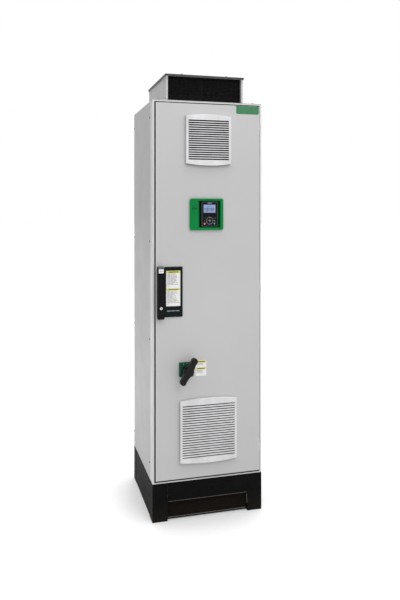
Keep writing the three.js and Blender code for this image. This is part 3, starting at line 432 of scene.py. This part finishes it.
def softened(node, width, segments=2, weigh=None, convex=True):
    """A CAD piece's own shape, with its edges rounded as rolled sheet or moulded plastic is.

    Concave faces are split, so that the rounding can't fold them over.
    """
    source = frame["nodes"][node].data
    bm = bmesh.new()
    corners = [bm.verts.new(v.co) for v in source.vertices]
    for polygon in source.polygons:
        bm.faces.new([corners[i] for i in polygon.vertices])
    bmesh.ops.remove_doubles(bm, verts=bm.verts, dist=0.01 * MM)
    bmesh.ops.dissolve_limit(bm, angle_limit=math.radians(0.5), verts=bm.verts, edges=bm.edges)
    if convex:
        bmesh.ops.connect_verts_concave(bm, faces=bm.faces)
    if weigh:
        weight = bm.edges.layers.float.new("bevel_weight_edge")
        for edge in bm.edges:
            if edge.is_manifold and edge.calc_face_angle() > math.radians(CREASE):
                edge[weight] = weigh(edge)
    made = piece(f"{node}_finished", bm, NODE_BODY[node], NODE_SLOT[node], replaced=[node])
    return round_edges(made, width, segments, bool(weigh))


def lathe(profile, socket):
    """Turned mesh about local Z from (radius, height) points. Rings are hexagons from index socket on."""
    bm = bmesh.new()
    segments = 24
    rings = []
    for index, (radius, height) in enumerate(profile):
        ring = []
        for step in range(segments):
            turn = 2 * math.pi * step / segments
            reach = radius
            if index >= socket:
                reach *= math.cos(math.pi / 6) / math.cos(turn % (math.pi / 3) - math.pi / 6)
            ring.append(bm.verts.new((reach * math.cos(turn), reach * math.sin(turn), height)))
        rings.append(ring)
    for low, high in zip(rings, rings[1:]):
        for step in range(segments):
            after = (step + 1) % segments
            bm.faces.new((low[step], low[after], high[after], high[step]))
    bm.faces.new(list(reversed(rings[0])))
    bm.faces.new(rings[-1])
    return bm


def screw_head(radius, height):
    """Domed head with a hexagon socket."""
    return lathe([(radius, -0.2 * height), (radius, 0.3 * height), (0.93 * radius, 0.6 * height),
                  (0.75 * radius, 0.86 * height), (0.55 * radius, height), (0.46 * radius, height),
                  (0.44 * radius, 0.4 * height)], socket=5)


def copies(name, unit, places, body, slot):
    """Copies of a unit mesh as one piece, each standing on a point and facing along its normal."""
    merged = bmesh.new()
    scratch = bpy.data.meshes.new("unit")
    unit.to_mesh(scratch)
    unit.free()
    for point, normal in places:
        turn = Vector(normal).to_track_quat("Z", "Y").to_matrix().to_4x4()
        start = len(merged.verts)
        merged.from_mesh(scratch)
        merged.verts.ensure_lookup_table()
        fresh = merged.verts[start:]
        bmesh.ops.transform(merged, matrix=Matrix.Translation(point) @ turn, verts=fresh)
    bpy.data.meshes.remove(scratch)
    made = piece(name, merged, body, slot)
    made.data.set_sharp_from_angle(angle=math.radians(32))


def rounded_outline(width, height, radius, corners=(1, 1, 1, 1)):
    """Points round a rectangle about the origin, anticlockwise from its lower right corner."""
    steps = 5
    points = []
    for corner, (side, level) in enumerate(((1, -1), (1, 1), (-1, 1), (-1, -1))):
        r = radius * corners[corner]
        middle = (side * (width / 2 - r), level * (height / 2 - r))
        start = (corner - 1) * math.pi / 2
        count = steps if r else 0
        for step in range(count + 1):
            turn = start + (step / count if count else 0.5) * math.pi / 2
            points.append((middle[0] + r * math.cos(turn), middle[1] + r * math.sin(turn)))
    return points


def slab(outline, thickness, at=(0, 0, 0)):
    """An outline in X and Z, raised towards -Y by its thickness from the point it stands on."""
    bm = bmesh.new()
    origin = Vector(at)
    back = [bm.verts.new(origin + Vector((x, 0, z))) for x, z in outline]
    front = [bm.verts.new(origin + Vector((x, -thickness, z))) for x, z in outline]
    bm.faces.new(back)
    bm.faces.new(list(reversed(front)))
    for i in range(len(outline)):
        after = (i + 1) % len(outline)
        bm.faces.new((back[i], front[i], front[after], back[after]))
    return bm


def band(outline, width, thickness, at):
    """A strip that follows a closed outline in X and Z just inside it, raised towards -Y."""
    bm = bmesh.new()
    origin = Vector(at)
    count = len(outline)
    rows = []
    for i, point in enumerate(outline):
        before, after = Vector(outline[i - 1]), Vector(outline[(i + 1) % count])
        along = (after - before).normalized()
        inner = Vector(point) + Vector((-along.y, along.x)) * width
        rows.append([bm.verts.new(origin + Vector((x, -rise, z)))
                     for (x, z), rise in ((point, 0), (point, thickness), (inner, thickness), (inner, 0))])
    for i in range(count):
        here, after = rows[i], rows[(i + 1) % count]
        for k in range(4):
            bm.faces.new((here[k], here[(k + 1) % 4], after[(k + 1) % 4], after[k]))
    return bm


def joined(*parts):
    """Several bmeshes as one."""
    merged = parts[0]
    scratch = bpy.data.meshes.new("part")
    for part in parts[1:]:
        part.to_mesh(scratch)
        part.free()
        merged.from_mesh(scratch)
    bpy.data.meshes.remove(scratch)
    return merged


def card(name, x, z, y, body, slot, radius=0.0, thickness=0.2 * MM, corners=(1, 1, 1, 1)):
    """A thin sticker or bar between two X and two Z limits, with its back at y."""
    outline = rounded_outline(x[1] - x[0], z[1] - z[0], radius, corners=corners)
    bm = slab(outline, thickness, ((x[0] + x[1]) / 2, y, (z[0] + z[1]) / 2))
    piece(name, bm, body, slot, smooth=False)


def perforated(low, high, y, hole, pitch, skip=()):
    """A sheet in X and Z with round holes on a grid, as one mesh with octagonal holes, at depth y."""
    bm = bmesh.new()
    columns = round((high[0] - low[0]) / pitch)
    rows = round((high[1] - low[1]) / pitch)
    step = ((high[0] - low[0]) / columns, (high[1] - low[1]) / rows)
    grid = [[bm.verts.new((low[0] + i * step[0], y, low[1] + j * step[1])) for j in range(rows + 1)]
            for i in range(columns + 1)]
    for i in range(columns):
        for j in range(rows):
            square = [grid[i][j], grid[i + 1][j], grid[i + 1][j + 1], grid[i][j + 1]]
            middle = (low[0] + (i + 0.5) * step[0], low[1] + (j + 0.5) * step[1])
            if any(a <= middle[0] <= b for a, b in skip):
                bm.faces.new(square)
                continue
            turns = [math.radians(-112.5 + 45 * k) for k in range(8)]
            ring = [bm.verts.new((middle[0] + hole * math.cos(t), y, middle[1] + hole * math.sin(t)))
                    for t in turns]
            for k in range(4):
                here, after = square[k], square[(k + 1) % 4]
                a, b, c = ring[2 * k], ring[2 * k + 1], ring[(2 * k + 2) % 8]
                bm.faces.new((here, after, b, a))
                bm.faces.new((after, c, b))
    return bm, grid


def thicken(made, thickness):
    """Gives a single sheet its thickness."""
    solid = made.modifiers.new("thickness", "SOLIDIFY")
    solid.thickness = thickness
    solid.offset = 1.0


# ---------------------------------------------------------------- cabinet, hood and plinth

def sheet_metal():
    """Folded panels get the small radius of the press brake."""
    for node in ("enclosure_frame", "left_side_panel", "right_side_panel", "rear_panel"):
        softened(node, 1.2 * MM)
    softened("roof_plate", 0.9 * MM)
    softened("hood_lid", 0.9 * MM, 3)
    softened("hood_body", 0.7 * MM)
    softened("door_panel", 3.4 * MM, 4, weigh=outer_rim("door_panel"))
    for node in NODE_SLOT:
        if node.startswith("plinth_corner"):
            softened(node, 1.4 * MM, 3)
        elif node.startswith("plinth") and node != "plinth_inlet_screen":
            softened(node, 0.8 * MM)


def outer_rim(node):
    """Full weight on the outer edges of a piece's front, a quarter on all the others."""
    low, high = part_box(node)
    middle, half = (low + high) / 2, (high - low) / 2 - Vector((MM, 0, MM))

    def weigh(edge):
        ends = [v.co - middle for v in edge.verts]
        front = all(end.y < MM - half.y for end in ends)
        rim = all(abs(end.x) > half.x for end in ends) or all(abs(end.z) > half.z for end in ends)
        return 1.0 if front and rim else 0.25

    return weigh


def outlet_screen():
    """Fine round perforation, with a plain margin, a plain strip and a plain lip below."""
    low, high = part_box("hood_screen")
    pitch = 7.5 * MM
    margin, lip = 10 * MM, 24 * MM
    inner_low = (low.x + margin, low.z + lip)
    inner_high = (high.x - margin, high.z - margin)
    plain_strip = (-26 * MM, -10 * MM)
    bm, grid = perforated(inner_low, inner_high, low.y, 2.5 * MM, pitch, skip=[plain_strip])
    border_sheet(bm, grid, low, high)
    made = piece("hood_screen_perforated", bm, "cabinet", "outlet_screen", smooth=False,
                 replaced=["hood_screen"])
    thicken(made, 1.5 * MM)
    gauze, _ = perforated((low.x, low.z), (high.x, high.z), high.y + 3 * MM, 1.6 * MM, 6 * MM)
    thicken(piece("hood_gauze", gauze, "cabinet", "outlet_screen", smooth=False), 0.6 * MM)


def border_sheet(bm, grid, low, high):
    """Plain margins round a perforated field, out to the sheet's own corners."""
    y = grid[0][0].co.y
    corners = [bm.verts.new((x, y, z)) for x, z in
               ((low.x, low.z), (high.x, low.z), (high.x, high.z), (low.x, high.z))]
    bottom = [column[0] for column in grid]
    top = [column[-1] for column in grid]
    bm.faces.new([corners[0], corners[1]] + list(reversed(bottom)))
    bm.faces.new([corners[3], *top, corners[2]])
    bm.faces.new([corners[0], *grid[0], corners[3]])
    bm.faces.new([corners[1], corners[2]] + list(reversed(grid[-1])))


def inlet_screen():
    """Woven wire of the air inlet: upright and level wires that cross, in a folded frame."""
    low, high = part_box("plinth_inlet_screen")
    front = high.y - 2 * MM
    rim = 7 * MM
    half = INLET_HALF_WIDTH
    bars = [(low.x, high.x, low.z, low.z + rim), (low.x, high.x, high.z - rim, high.z),
            (half, high.x, low.z + rim, high.z - rim), (low.x, -half, low.z + rim, high.z - rim)]
    made = ruled("plinth_inlet_frame", bars, high.y, "cabinet", "inlet_screen", thickness=2 * MM,
                 replaced=["plinth_inlet_screen"])
    round_edges(made, 0.4 * MM, 2)
    wires = bmesh.new()
    radius = 0.7 * MM
    spacing = 5 * MM
    columns = int(2 * half / spacing)
    rows = int((high.z - low.z - 2 * rim) / spacing)
    left = -spacing * (columns - 1) / 2
    bottom = low.z + rim + (high.z - low.z - 2 * rim - spacing * (rows - 1)) / 2
    for i in range(columns):
        x = left + i * spacing
        wire(wires, (x, front + MM, low.z + rim), (x, front + MM, high.z - rim), radius)
    for j in range(rows):
        z = bottom + j * spacing
        wire(wires, (-half, front + MM + 1.2 * radius, z), (half, front + MM + 1.2 * radius, z), radius)
    piece("plinth_inlet_wires", wires, "cabinet", "inlet_screen")
    # A dark brown sheet behind the wires: painted shade standing in for the dark space inside the plinth.
    shade_sheet = bar((-half, front + 8 * MM, low.z + rim), (half, front + 8.6 * MM, high.z - rim))
    piece("plinth_inlet_shade_sheet", shade_sheet, "cabinet", "inlet_screen", smooth=False)
    low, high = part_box("plinth_front_panel")
    # A painted highlight: a light line where the front panel's lower edge catches the light.
    highlight_bar = (low.x + 2 * MM, high.x - 2 * MM, low.z + 0.6 * MM, low.z + 2.4 * MM)
    ruled("plinth_panel_highlight_lip", [highlight_bar], low.y, "cabinet", "inlet_screen", EDGE_HIGHLIGHT, 0.12 * MM)


def wire(bm, start, end, radius, sides=6):
    """A straight round wire between two points."""
    axis = Vector(end) - Vector(start)
    turn = axis.to_track_quat("Z", "Y").to_matrix()
    rings = []
    for base in (Vector(start), Vector(end)):
        rings.append([bm.verts.new(base + turn @ Vector((
            radius * math.cos(2 * math.pi * k / sides), radius * math.sin(2 * math.pi * k / sides), 0)))
            for k in range(sides)])
    for k in range(sides):
        after = (k + 1) % sides
        bm.faces.new((rings[0][k], rings[0][after], rings[1][after], rings[1][k]))
    bm.faces.new(list(reversed(rings[0])))
    bm.faces.new(rings[1])


def bar(low, high):
    """A straight bar between two corners."""
    outline = [(low[0], low[2]), (high[0], low[2]), (high[0], high[2]), (low[0], high[2])]
    return slab(outline, high[1] - low[1], (0, high[1], 0))


def rubber_profiles():
    """Black rubber profiles as painted shade in the frame's gaps: round the door, broken at the hinges, and
    over the side panels.
    """
    low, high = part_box("door_panel")
    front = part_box("enclosure_frame")[0].y
    depth = (front - 4 * MM, front + 20 * MM)
    behind = front + 2.5 * MM
    inner, outer = 0.9 * MM, 6.3 * MM
    below = 10.2 * MM
    # The gutter round the door is lined with black profiles as painted shade.
    left = bar((low.x - outer, depth[0], low.z - below), (low.x - inner, depth[1], high.z + outer))
    top = bar((low.x - inner, depth[0], high.z + inner), (high.x + inner, depth[1], high.z + outer))
    bottom = bar((low.x - inner, depth[0], low.z - below), (high.x + inner, depth[1], low.z - 1.5 * MM))
    stops = [low.z - below]
    for place in ("bottom", "middle", "top"):
        leaf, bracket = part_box(f"hinge_leaf_{place}"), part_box(f"hinge_bracket_{place}")
        stops += [min(leaf[0].z, bracket[0].z) - 3 * MM, max(leaf[1].z, bracket[1].z) + 3 * MM]
    stops.append(high.z + outer)
    right = [bar((high.x + inner, behind, a), (high.x + outer, depth[1], b))
             for a, b in zip(stops[::2], stops[1::2])]
    made = piece("gutter_shade_profile", joined(left, top, bottom, *right), "cabinet", "gasket_rubber",
                 smooth=False)
    round_edges(made, 0.8 * MM, 2)
    # Black cords along the side panels' top seams: painted shade in the seam.
    cords = bmesh.new()
    for node, side in (("left_side_panel", -1), ("right_side_panel", 1)):
        low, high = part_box(node)
        x = low.x + 1.5 * MM if side < 0 else high.x - 1.5 * MM
        wire(cords, (x, low.y, high.z + 1.5 * MM), (x, high.y, high.z + 1.5 * MM), 1.45 * MM, 8)
    piece("side_seam_shade_cords", cords, "cabinet", "gasket_rubber")


def fasteners():
    """Screws of the panels and the hood, and the plugs of the four lifting points."""
    low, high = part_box("hood_body")
    post = high.x - 5 * MM
    hood_posts = [(Vector((side * post, low.y, low.z + lift)), OUT)
                  for side in (-1, 1) for lift in (12 * MM, 124 * MM)]
    hood_posts += [(Vector((side * high.x, y, low.z + lift)), side * RIGHT)
                   for side in (-1, 1) for y in (low.y + 11 * MM, high.y - 11 * MM)
                   for lift in (20 * MM, 112 * MM)]
    copies("hood_screws", screw_head(3.6 * MM, 2.6 * MM), hood_posts, "cabinet", "screw_steel")

    low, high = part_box("hood_lid")
    lid = [(Vector((x, y, high.z)), UP) for x in (-LID_BOLT_X, LID_BOLT_X)
           for y in (low.y + LID_BOLT_INSET, high.y - LID_BOLT_INSET)]
    copies("hood_lid_bolts", screw_head(6.5 * MM, 8 * MM), lid, "cabinet", "screw_steel")

    low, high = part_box("roof_plate")
    plugs = [(Vector((x, y, high.z)), UP) for x in (low.x + PLUG_INSET, high.x - PLUG_INSET)
             for y in (low.y + PLUG_INSET, high.y - PLUG_INSET)]
    plug = lathe([(15 * MM, -0.3 * MM), (15 * MM, 1.8 * MM), (14 * MM, 2.8 * MM), (9.2 * MM, 3.2 * MM),
                  (9.0 * MM, 6.5 * MM), (8.2 * MM, 7.2 * MM), (4.4 * MM, 7.2 * MM), (4.2 * MM, 3 * MM)],
                 socket=6)
    copies("lifting_plugs", plug, plugs, "cabinet", "cap_plastic")

    panels = []
    for node, side in (("left_side_panel", LEFT), ("right_side_panel", RIGHT)):
        low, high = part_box(node)
        x = low.x if side == LEFT else high.x
        panels += [(Vector((x, y, z)), side) for y in (low.y + 14 * MM, high.y - 20 * MM)
                   for z in SIDE_SCREW_LEVELS]
    low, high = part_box("rear_panel")
    panels += [(Vector((x, high.y, z)), BACK) for x in (low.x + 20 * MM, high.x - 20 * MM)
               for z in REAR_SCREW_LEVELS]
    copies("panel_screws", screw_head(4.6 * MM, 2.4 * MM), panels, "cabinet", "black_paint")

    reach = (-PLINTH_SCREW_REACH, PLINTH_SCREW_REACH)
    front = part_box("plinth_front_panel")[0].y
    plinth = [(Vector((x, front, z)), OUT) for x in reach for z in PLINTH_FRONT_SCREW_LEVELS]
    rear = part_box("plinth_rear_panel")[1].y
    plinth += [(Vector((x, rear, z)), BACK) for x in reach for z in PLINTH_SCREW_LEVELS]
    for node, side in (("plinth_left_panel", LEFT), ("plinth_right_panel", RIGHT)):
        low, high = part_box(node)
        x = low.x if side == LEFT else high.x
        middle = (low.y + high.y) / 2
        plinth += [(Vector((x, middle + y, z)), side) for y in reach for z in PLINTH_SCREW_LEVELS]
    copies("plinth_screws", screw_head(4.8 * MM, 2.4 * MM), plinth, "cabinet", "black_paint")


# ---------------------------------------------------------------- door fittings

def front_first(node, depth, rest):
    """Full weight on a piece's frontmost edges, and a share of it on all the others."""
    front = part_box(node)[0].y + depth
    return lambda edge: 1.0 if all(v.co.y < front for v in edge.verts) else rest


def ruled(name, bars, y, body, slot, material=None, thickness=0.15 * MM, replaced=()):
    """Thin raised bars, each given by its limits in X and Z, as one piece with its back at y."""
    slabs = [slab(rounded_outline(x1 - x0, z1 - z0, 0), thickness, ((x0 + x1) / 2, y, (z0 + z1) / 2))
             for x0, x1, z0, z1 in bars]
    return piece(name, joined(*slabs), body, slot, material, smooth=False, replaced=replaced)


def text_rows(x, z, row, seed, fill):
    """Rows of bars with ragged ends between the limits, in place of small print."""
    dice = random.Random(seed)
    width = x[1] - x[0]
    bars = []
    level = z[1]
    while level - row >= z[0]:
        left, end = x[0], x[0] + dice.uniform(0.55, 1.0) * width
        while left < end - 0.1 * width:
            right = min(left + dice.uniform(0.12, 0.34) * width, end)
            bars.append((left, right, level - fill * row, level))
            left = right + 0.03 * width
        level -= row
    return bars


def notice(name, x, z, y, bands, seed):
    """A white notice with yellow bands and rows of bars where small print would be."""
    body, slot = "door", "label_film"
    card(name, x, z, y, body, slot)
    face = y - 0.2 * MM
    width = x[1] - x[0]
    ruled(f"{name}_bands", [(x[0] + 0.6 * MM, x[1] - 0.6 * MM, low, high) for low, high in bands], face, body,
          slot, BAND_YELLOW)
    ruled(f"{name}_band_marks", [(x[0] + 0.16 * width, x[1] - 0.14 * width,
                                  low + 0.28 * (high - low), low + 0.72 * (high - low))
                                 for low, high in bands], face - 0.15 * MM, body, slot, PRINT_OLIVE)
    rows = []
    columns = (x[0] + 6 * MM, x[1] - 6 * MM)
    tops, bottoms = [low for low, _ in bands], [high for _, high in bands][1:] + [z[0]]
    for number, (top, bottom) in enumerate(zip(tops, bottoms)):
        rows += text_rows(columns, (bottom + 12 * MM, top - 3 * MM), 5 * MM, seed + number, 0.36)
    ruled(f"{name}_print", rows, face, body, slot, PRINT_SMALL)


def swing_handle():
    """Escutcheon with its notice, and the lever with its cap and sticker."""
    softened("handle_escutcheon", 1.0 * MM, 3, weigh=front_first("handle_escutcheon", MM, 0.15))
    softened("handle_lever", 3.0 * MM, 4, weigh=front_first("handle_lever", MM, 0.15))
    softened("handle_hub", 3.0 * MM, 4, weigh=front_first("handle_hub", MM, 0.12), convex=False)
    softened("lock_barrel", 0.4 * MM, 2)
    low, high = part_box("handle_escutcheon")
    pocket = low.y + 0.6 * MM
    x = (low.x + 48.4 * MM, low.x + 123.6 * MM)
    z = (low.z + 56.4 * MM, high.z - 20.4 * MM)
    bands = [(z[1] - 13 * MM, z[1] - 0.6 * MM), (z[1] - 102.5 * MM, z[1] - 92 * MM)]
    notice("handle_notice", x, z, pocket, bands, 11)
    ruled("escutcheon_bars", [(x[0] + a * MM, x[0] + b * MM, low.z + 30 * MM, low.z + 34 * MM)
                              for a, b in ((4, 24), (27, 47), (50, 70))], low.y, "door", "slate_plastic",
          PRINT_GREY)
    low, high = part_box("handle_hub")
    middle = (low.x + high.x) / 2
    front = low.y
    cap = slab(rounded_outline(33 * MM, 9 * MM, 3 * MM, corners=(0, 1, 1, 0)), 5.6 * MM,
               (middle, front + 5 * MM, high.z - 4.6 * MM))
    made = piece("handle_head_cap", cap, "handle_hub", "cap_plastic")
    round_edges(made, 1.2 * MM, 3)
    card("handle_sticker", (middle - 13 * MM, middle + 13 * MM), (high.z - 33 * MM, high.z - 12 * MM),
         front, "handle_hub", "label_film", 2.5 * MM)
    ruled("handle_sticker_mark", [(middle - 9 * MM, middle + 8 * MM, high.z - 24 * MM, high.z - 21 * MM)],
          front - 0.2 * MM, "handle_hub", "label_film", PRINT_GREY)


def rotary_switch():
    """Plate and grip of the switch, its notice and the marks of its stops."""
    softened("rotary_plate", 1.5 * MM, 3)
    softened("rotary_handle", 5.0 * MM, 5, weigh=front_first("rotary_handle", MM, 0.3))
    low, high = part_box("rotary_plate")
    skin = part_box("door_panel")[0].y
    x = (high.x + 14 * MM, high.x + 73 * MM)
    z = (low.z - 3.5 * MM, high.z + 2.5 * MM)
    bands = [(z[1] - 12 * MM, z[1] - 0.6 * MM), (z[1] - 47.5 * MM, z[1] - 37 * MM)]
    notice("switch_notice", x, z, skin, bands, 29)
    middle = (low + high) / 2
    radius, half = 35.2 * MM, 1.2 * MM
    marks = []
    for turn in SWITCH_STOPS:
        x = middle.x + radius * math.sin(math.radians(turn))
        z = middle.z + radius * math.cos(math.radians(turn))
        marks.append((x - half, x + half, z - half, z + half))
    ruled("rotary_marks", marks, low.y + 8 * MM, "door", "label_film")


def terminal_area():
    """Operator terminal in its frame: display, outline, pads, ring and key marks."""
    softened("terminal_frame", 3.5 * MM, 4, weigh=front_first("terminal_frame", MM, 0.2))
    softened("operator_terminal", 1.6 * MM, 3, weigh=front_first("operator_terminal", 0.1 * MM, 0.12))
    for node in NODE_SLOT:
        if node.startswith("key_"):
            softened(node, 0.5 * MM, 2)
    low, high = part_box("operator_terminal")
    glass = low.y + 0.8 * MM
    x = (low.x + 13.3 * MM, high.x - 14.3 * MM)
    z = (high.z - 59.7 * MM, high.z - 17.3 * MM)
    card("terminal_display", x, z, glass, "door", "display_glass", 0.6 * MM, 0.35 * MM)
    face = glass - 0.35 * MM
    display_content(x, z, face)
    middle = (low + high) / 2
    badge = (middle.x - 11 * MM, middle.x + 11 * MM, high.z - 10.5 * MM, high.z - 7 * MM)
    ruled("terminal_badge", [badge], low.y, "door", "terminal_plastic", PRINT_GREY)
    outline = rounded_outline(high.x - low.x - 5 * MM, high.z - low.z - 5 * MM, 6 * MM)
    hoop = band(outline, 1.8 * MM, 0.4 * MM, (middle.x, low.y, middle.z))
    piece("terminal_outline", hoop, "door", "terminal_plastic", EDGE_GREY, smooth=False)
    low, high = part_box("terminal_frame")
    left, step = low.x + 8 * MM, 10 * MM
    raised = [(left, left + 3 * step, high.z - 38 * MM, high.z - 36 * MM)]
    raised += [(left + (i + 0.12) * step, left + (i + 0.88) * step, high.z - 58 * MM, high.z - 46 * MM)
               for i in range(3)]
    # The pads are painted in a darker copy of the frame's green, as painted shade of their relief.
    ruled("terminal_frame_pads", raised, low.y, "door", "green_plastic", SHADED_GREEN, 0.4 * MM)
    navigation_ring(low.y)
    key_marks()


def display_content(x, z, face):
    """A dial with its pointer, a bar and blank fields: no figures or words."""
    width, height = x[1] - x[0], z[1] - z[0]
    dial = bmesh.new()
    centre = (x[0] + 0.5 * width, z[0] + 0.42 * height)
    sweep(dial, centre, 0.37 * height, 0.4 * height, -55, 235, face, 0.1 * MM)
    for start in (-48, 132):
        sweep(dial, centre, 0.18 * height, 0.29 * height, start, start + 96, face, 0.1 * MM)
    piece("display_dial", dial, "door", "display_glass", PRINT_DARK, smooth=False)
    rules = [(0.02, 0.98, 0.94, 0.955), (0.02, 0.98, 0.13, 0.145)]
    pointer = (0.48, 0.52, 0.34, 0.56)
    fields = [(0.05, 0.22, 0.5, 0.56), (0.05, 0.18, 0.34, 0.4)]
    level_bar = (0.8, 0.86, 0.3, 0.62)
    soft = [(0.04 + 0.245 * i, 0.2 + 0.245 * i, 0.03, 0.09) for i in range(4)]
    for name, shares, material in (("display_fields", [*rules, pointer, *fields, level_bar], PRINT_DARK),
                                   ("display_soft_fields", soft, PRINT_GREY)):
        bars = [(x[0] + a * width, x[0] + b * width, z[0] + c * height, z[0] + d * height)
                for a, b, c, d in shares]
        ruled(name, bars, face, "door", "display_glass", material, 0.1 * MM)


def sweep(bm, centre, inner, outer, start, end, y, thickness, steps=40):
    """Part of a flat ring in X and Z between two angles in degrees from +X, raised towards -Y."""
    closed = abs(end - start) == 360
    rows = []
    for step in range(steps + (0 if closed else 1)):
        turn = math.radians(start + (end - start) * step / steps)
        way = (math.cos(turn), math.sin(turn))
        section = ((inner, y), (outer, y), (outer, y - thickness), (inner, y - thickness))
        rows.append([bm.verts.new((centre[0] + r * way[0], depth, centre[1] + r * way[1]))
                     for r, depth in section])
    for here, after in zip(rows, rows[1:] + (rows[:1] if closed else [])):
        for k in range(4):
            bm.faces.new((here[k], here[(k + 1) % 4], after[(k + 1) % 4], after[k]))
    if not closed:
        bm.faces.new(rows[0])
        bm.faces.new(list(reversed(rows[-1])))


def navigation_ring(front):
    """Raised ring round the middle key, with four arrows in it."""
    low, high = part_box("key_confirm")
    centre = ((low.x + high.x) / 2, (low.z + high.z) / 2)
    ring = bmesh.new()
    sweep(ring, centre, 17.3 * MM, 18.8 * MM, 0, 360, front, 0.9 * MM, 64)
    made = piece("navigation_ring", ring, "door", "terminal_plastic", RING_LIGHT)
    round_edges(made, 0.4 * MM, 2)
    arrows = bmesh.new()
    for way in ((1, 0), (0, 1), (-1, 0), (0, -1)):
        tip = Vector((centre[0] + 15 * MM * way[0], 0, centre[1] + 15 * MM * way[1]))
        side = Vector((-way[1], 0, way[0])) * 1.6 * MM
        base = tip - Vector((way[0], 0, way[1])) * 2.4 * MM
        outline = [tip, base + side, base - side]
        back = [arrows.verts.new((p.x, front, p.z)) for p in outline]
        face = [arrows.verts.new((p.x, front - 0.15 * MM, p.z)) for p in outline]
        arrows.faces.new(face)
        for k in range(3):
            arrows.faces.new((back[k], back[(k + 1) % 3], face[(k + 1) % 3], face[k]))
        arrows.faces.new(list(reversed(back)))
    piece("navigation_arrows", arrows, "door", "terminal_plastic", PRINT_GREY, smooth=False)


def key_marks():
    """A bar, a ring or a dot on each key's face."""
    for name, mark in (("stop", "ring"), ("run", "bar"), ("information", "bar"), ("confirm", "ring"),
                       ("escape", "dot"), ("home", "dot"), ("local_remote", "dot")):
        low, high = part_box(f"key_{name}")
        x, z, radius = (low.x + high.x) / 2, (low.z + high.z) / 2, (high.x - low.x) / 2
        if mark == "ring":
            bm = bmesh.new()
            sweep(bm, (x, z), 0.32 * radius, 0.48 * radius, 0, 360, low.y, 0.12 * MM, 24)
        else:
            size = (0.5, 0.5, 0.24) if mark == "dot" else (0.36, 1.1, 0.17)
            bm = slab(rounded_outline(*(share * radius for share in size)), 0.12 * MM, (x, low.y, z))
        material = PRINT_GREY if mark == "dot" else None
        piece(f"key_{name}_mark", bm, NODE_BODY[f"key_{name}"], "label_film", material, smooth=False)


def rolled_rim(node):
    """Full weight on the outer edges of a cover's front, and a little on all the others."""
    low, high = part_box(node)
    middle, half = (low + high) / 2, (high - low) / 2

    def weigh(edge):
        if any(v.co.y > low.y + MM for v in edge.verts):
            return 0.1
        rim = all(abs(v.co.x - middle.x) > half.x - 5 * MM or abs(v.co.z - middle.z) > half.z - 20 * MM
                  for v in edge.verts)
        return 1.0 if rim else 0.12

    return weigh


def grilles():
    """Covers with a rolled outer edge and painted shade on their undersides, and the fibre mats behind their
    louvres.
    """
    for level in ("upper", "lower"):
        node = f"{level}_grille_cover"
        cover = softened(node, 3 * MM, 4, weigh=rolled_rim(node))
        cover.data.materials.append(UNDERSIDE_SHADE)
        # Downward faces take a darker material: painted shade.
        for polygon in cover.data.polygons:
            if polygon.normal.z < DOWNWARD:
                polygon.material_index = 1
        filter_mat(level)


def filter_mat(level):
    """Thick fibre mat on the housing's grid, a little wavy and with soft edges."""
    low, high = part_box(f"{level}_filter_housing")
    grid = high.y - 3 * MM
    inside = (min(high.x - low.x, high.z - low.z) - 12 * MM) / 2 - 3 * MM
    dice = random.Random(7)
    phases = [dice.uniform(0, 6.28) for _ in range(4)]
    centre = (low + high) / 2
    cells, depth = 40, 17 * MM
    bm = bmesh.new()
    layers = []
    for back in (True, False):
        layer = []
        for i in range(cells + 1):
            for j in range(cells + 1):
                u, v = 2 * i / cells - 1, 2 * j / cells - 1
                edge = min(1.0, (1 - max(abs(u), abs(v))) * 12)
                sag = 0.6 * MM * (math.sin(5 * u + phases[0]) + math.sin(6 * v + phases[1]))
                y = grid - 0.4 * MM if back else grid - depth * (0.55 + 0.45 * math.sqrt(edge)) + sag * edge
                layer.append(bm.verts.new((centre.x + u * inside, y, centre.z + v * inside)))
        layers.append(layer)
    row = cells + 1
    for layer, flip in ((layers[0], False), (layers[1], True)):
        for i in range(cells):
            for j in range(cells):
                quad = [layer[i * row + j], layer[(i + 1) * row + j], layer[(i + 1) * row + j + 1],
                        layer[i * row + j + 1]]
                bm.faces.new(list(reversed(quad)) if flip else quad)
    rim = ([i * row for i in range(row)] + [cells * row + j for j in range(1, row)]
           + [i * row + cells for i in range(cells - 1, -1, -1)] + list(range(cells - 1, 0, -1)))
    for a, b in zip(rim, rim[1:] + rim[:1]):
        bm.faces.new((layers[0][a], layers[0][b], layers[1][b], layers[1][a]))
    made = piece(f"{level}_filter_mat", bm, "door", "filter_mat")


def blank_nameplate():
    """Plain plate in the door's upper right corner, with nothing on it."""
    low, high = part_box("door_panel")
    card("nameplate_blank", (high.x - 132 * MM, high.x - 3.6 * MM), (high.z - 44.5 * MM, high.z - MM),
         low.y, "door", "nameplate", 8 * MM, 0.6 * MM, corners=(1, 0, 0, 1))


# ---------------------------------------------------------------- floor and assembly

def floor():
    """A pale plain floor under the whole object. Its glow does not light the object."""
    bm = bmesh.new()
    bm.faces.new([bm.verts.new((x * FLOOR_REACH, y * FLOOR_REACH, 0))
                  for x, y in ((-1, -1), (1, -1), (1, 1), (-1, 1))])
    made = bpy.data.objects.new("studio_floor", mesh_from(bm, "studio_floor", False))
    made.data.materials.append(studio_floor("studio_floor", (254, 254, 254)))
    made.visible_diffuse = False
    bpy.context.scene.collection.objects.link(made)


for node, owner in frame["nodes"].items():
    owner.data.materials.clear()
    owner.data.materials.append(MATERIALS[NODE_SLOT[node]])

sheet_metal()
outlet_screen()
inlet_screen()
rubber_profiles()
fasteners()
swing_handle()
rotary_switch()
terminal_area()
grilles()
blank_nameplate()
floor()
camera()
studio()

bpy.context.view_layer.update()
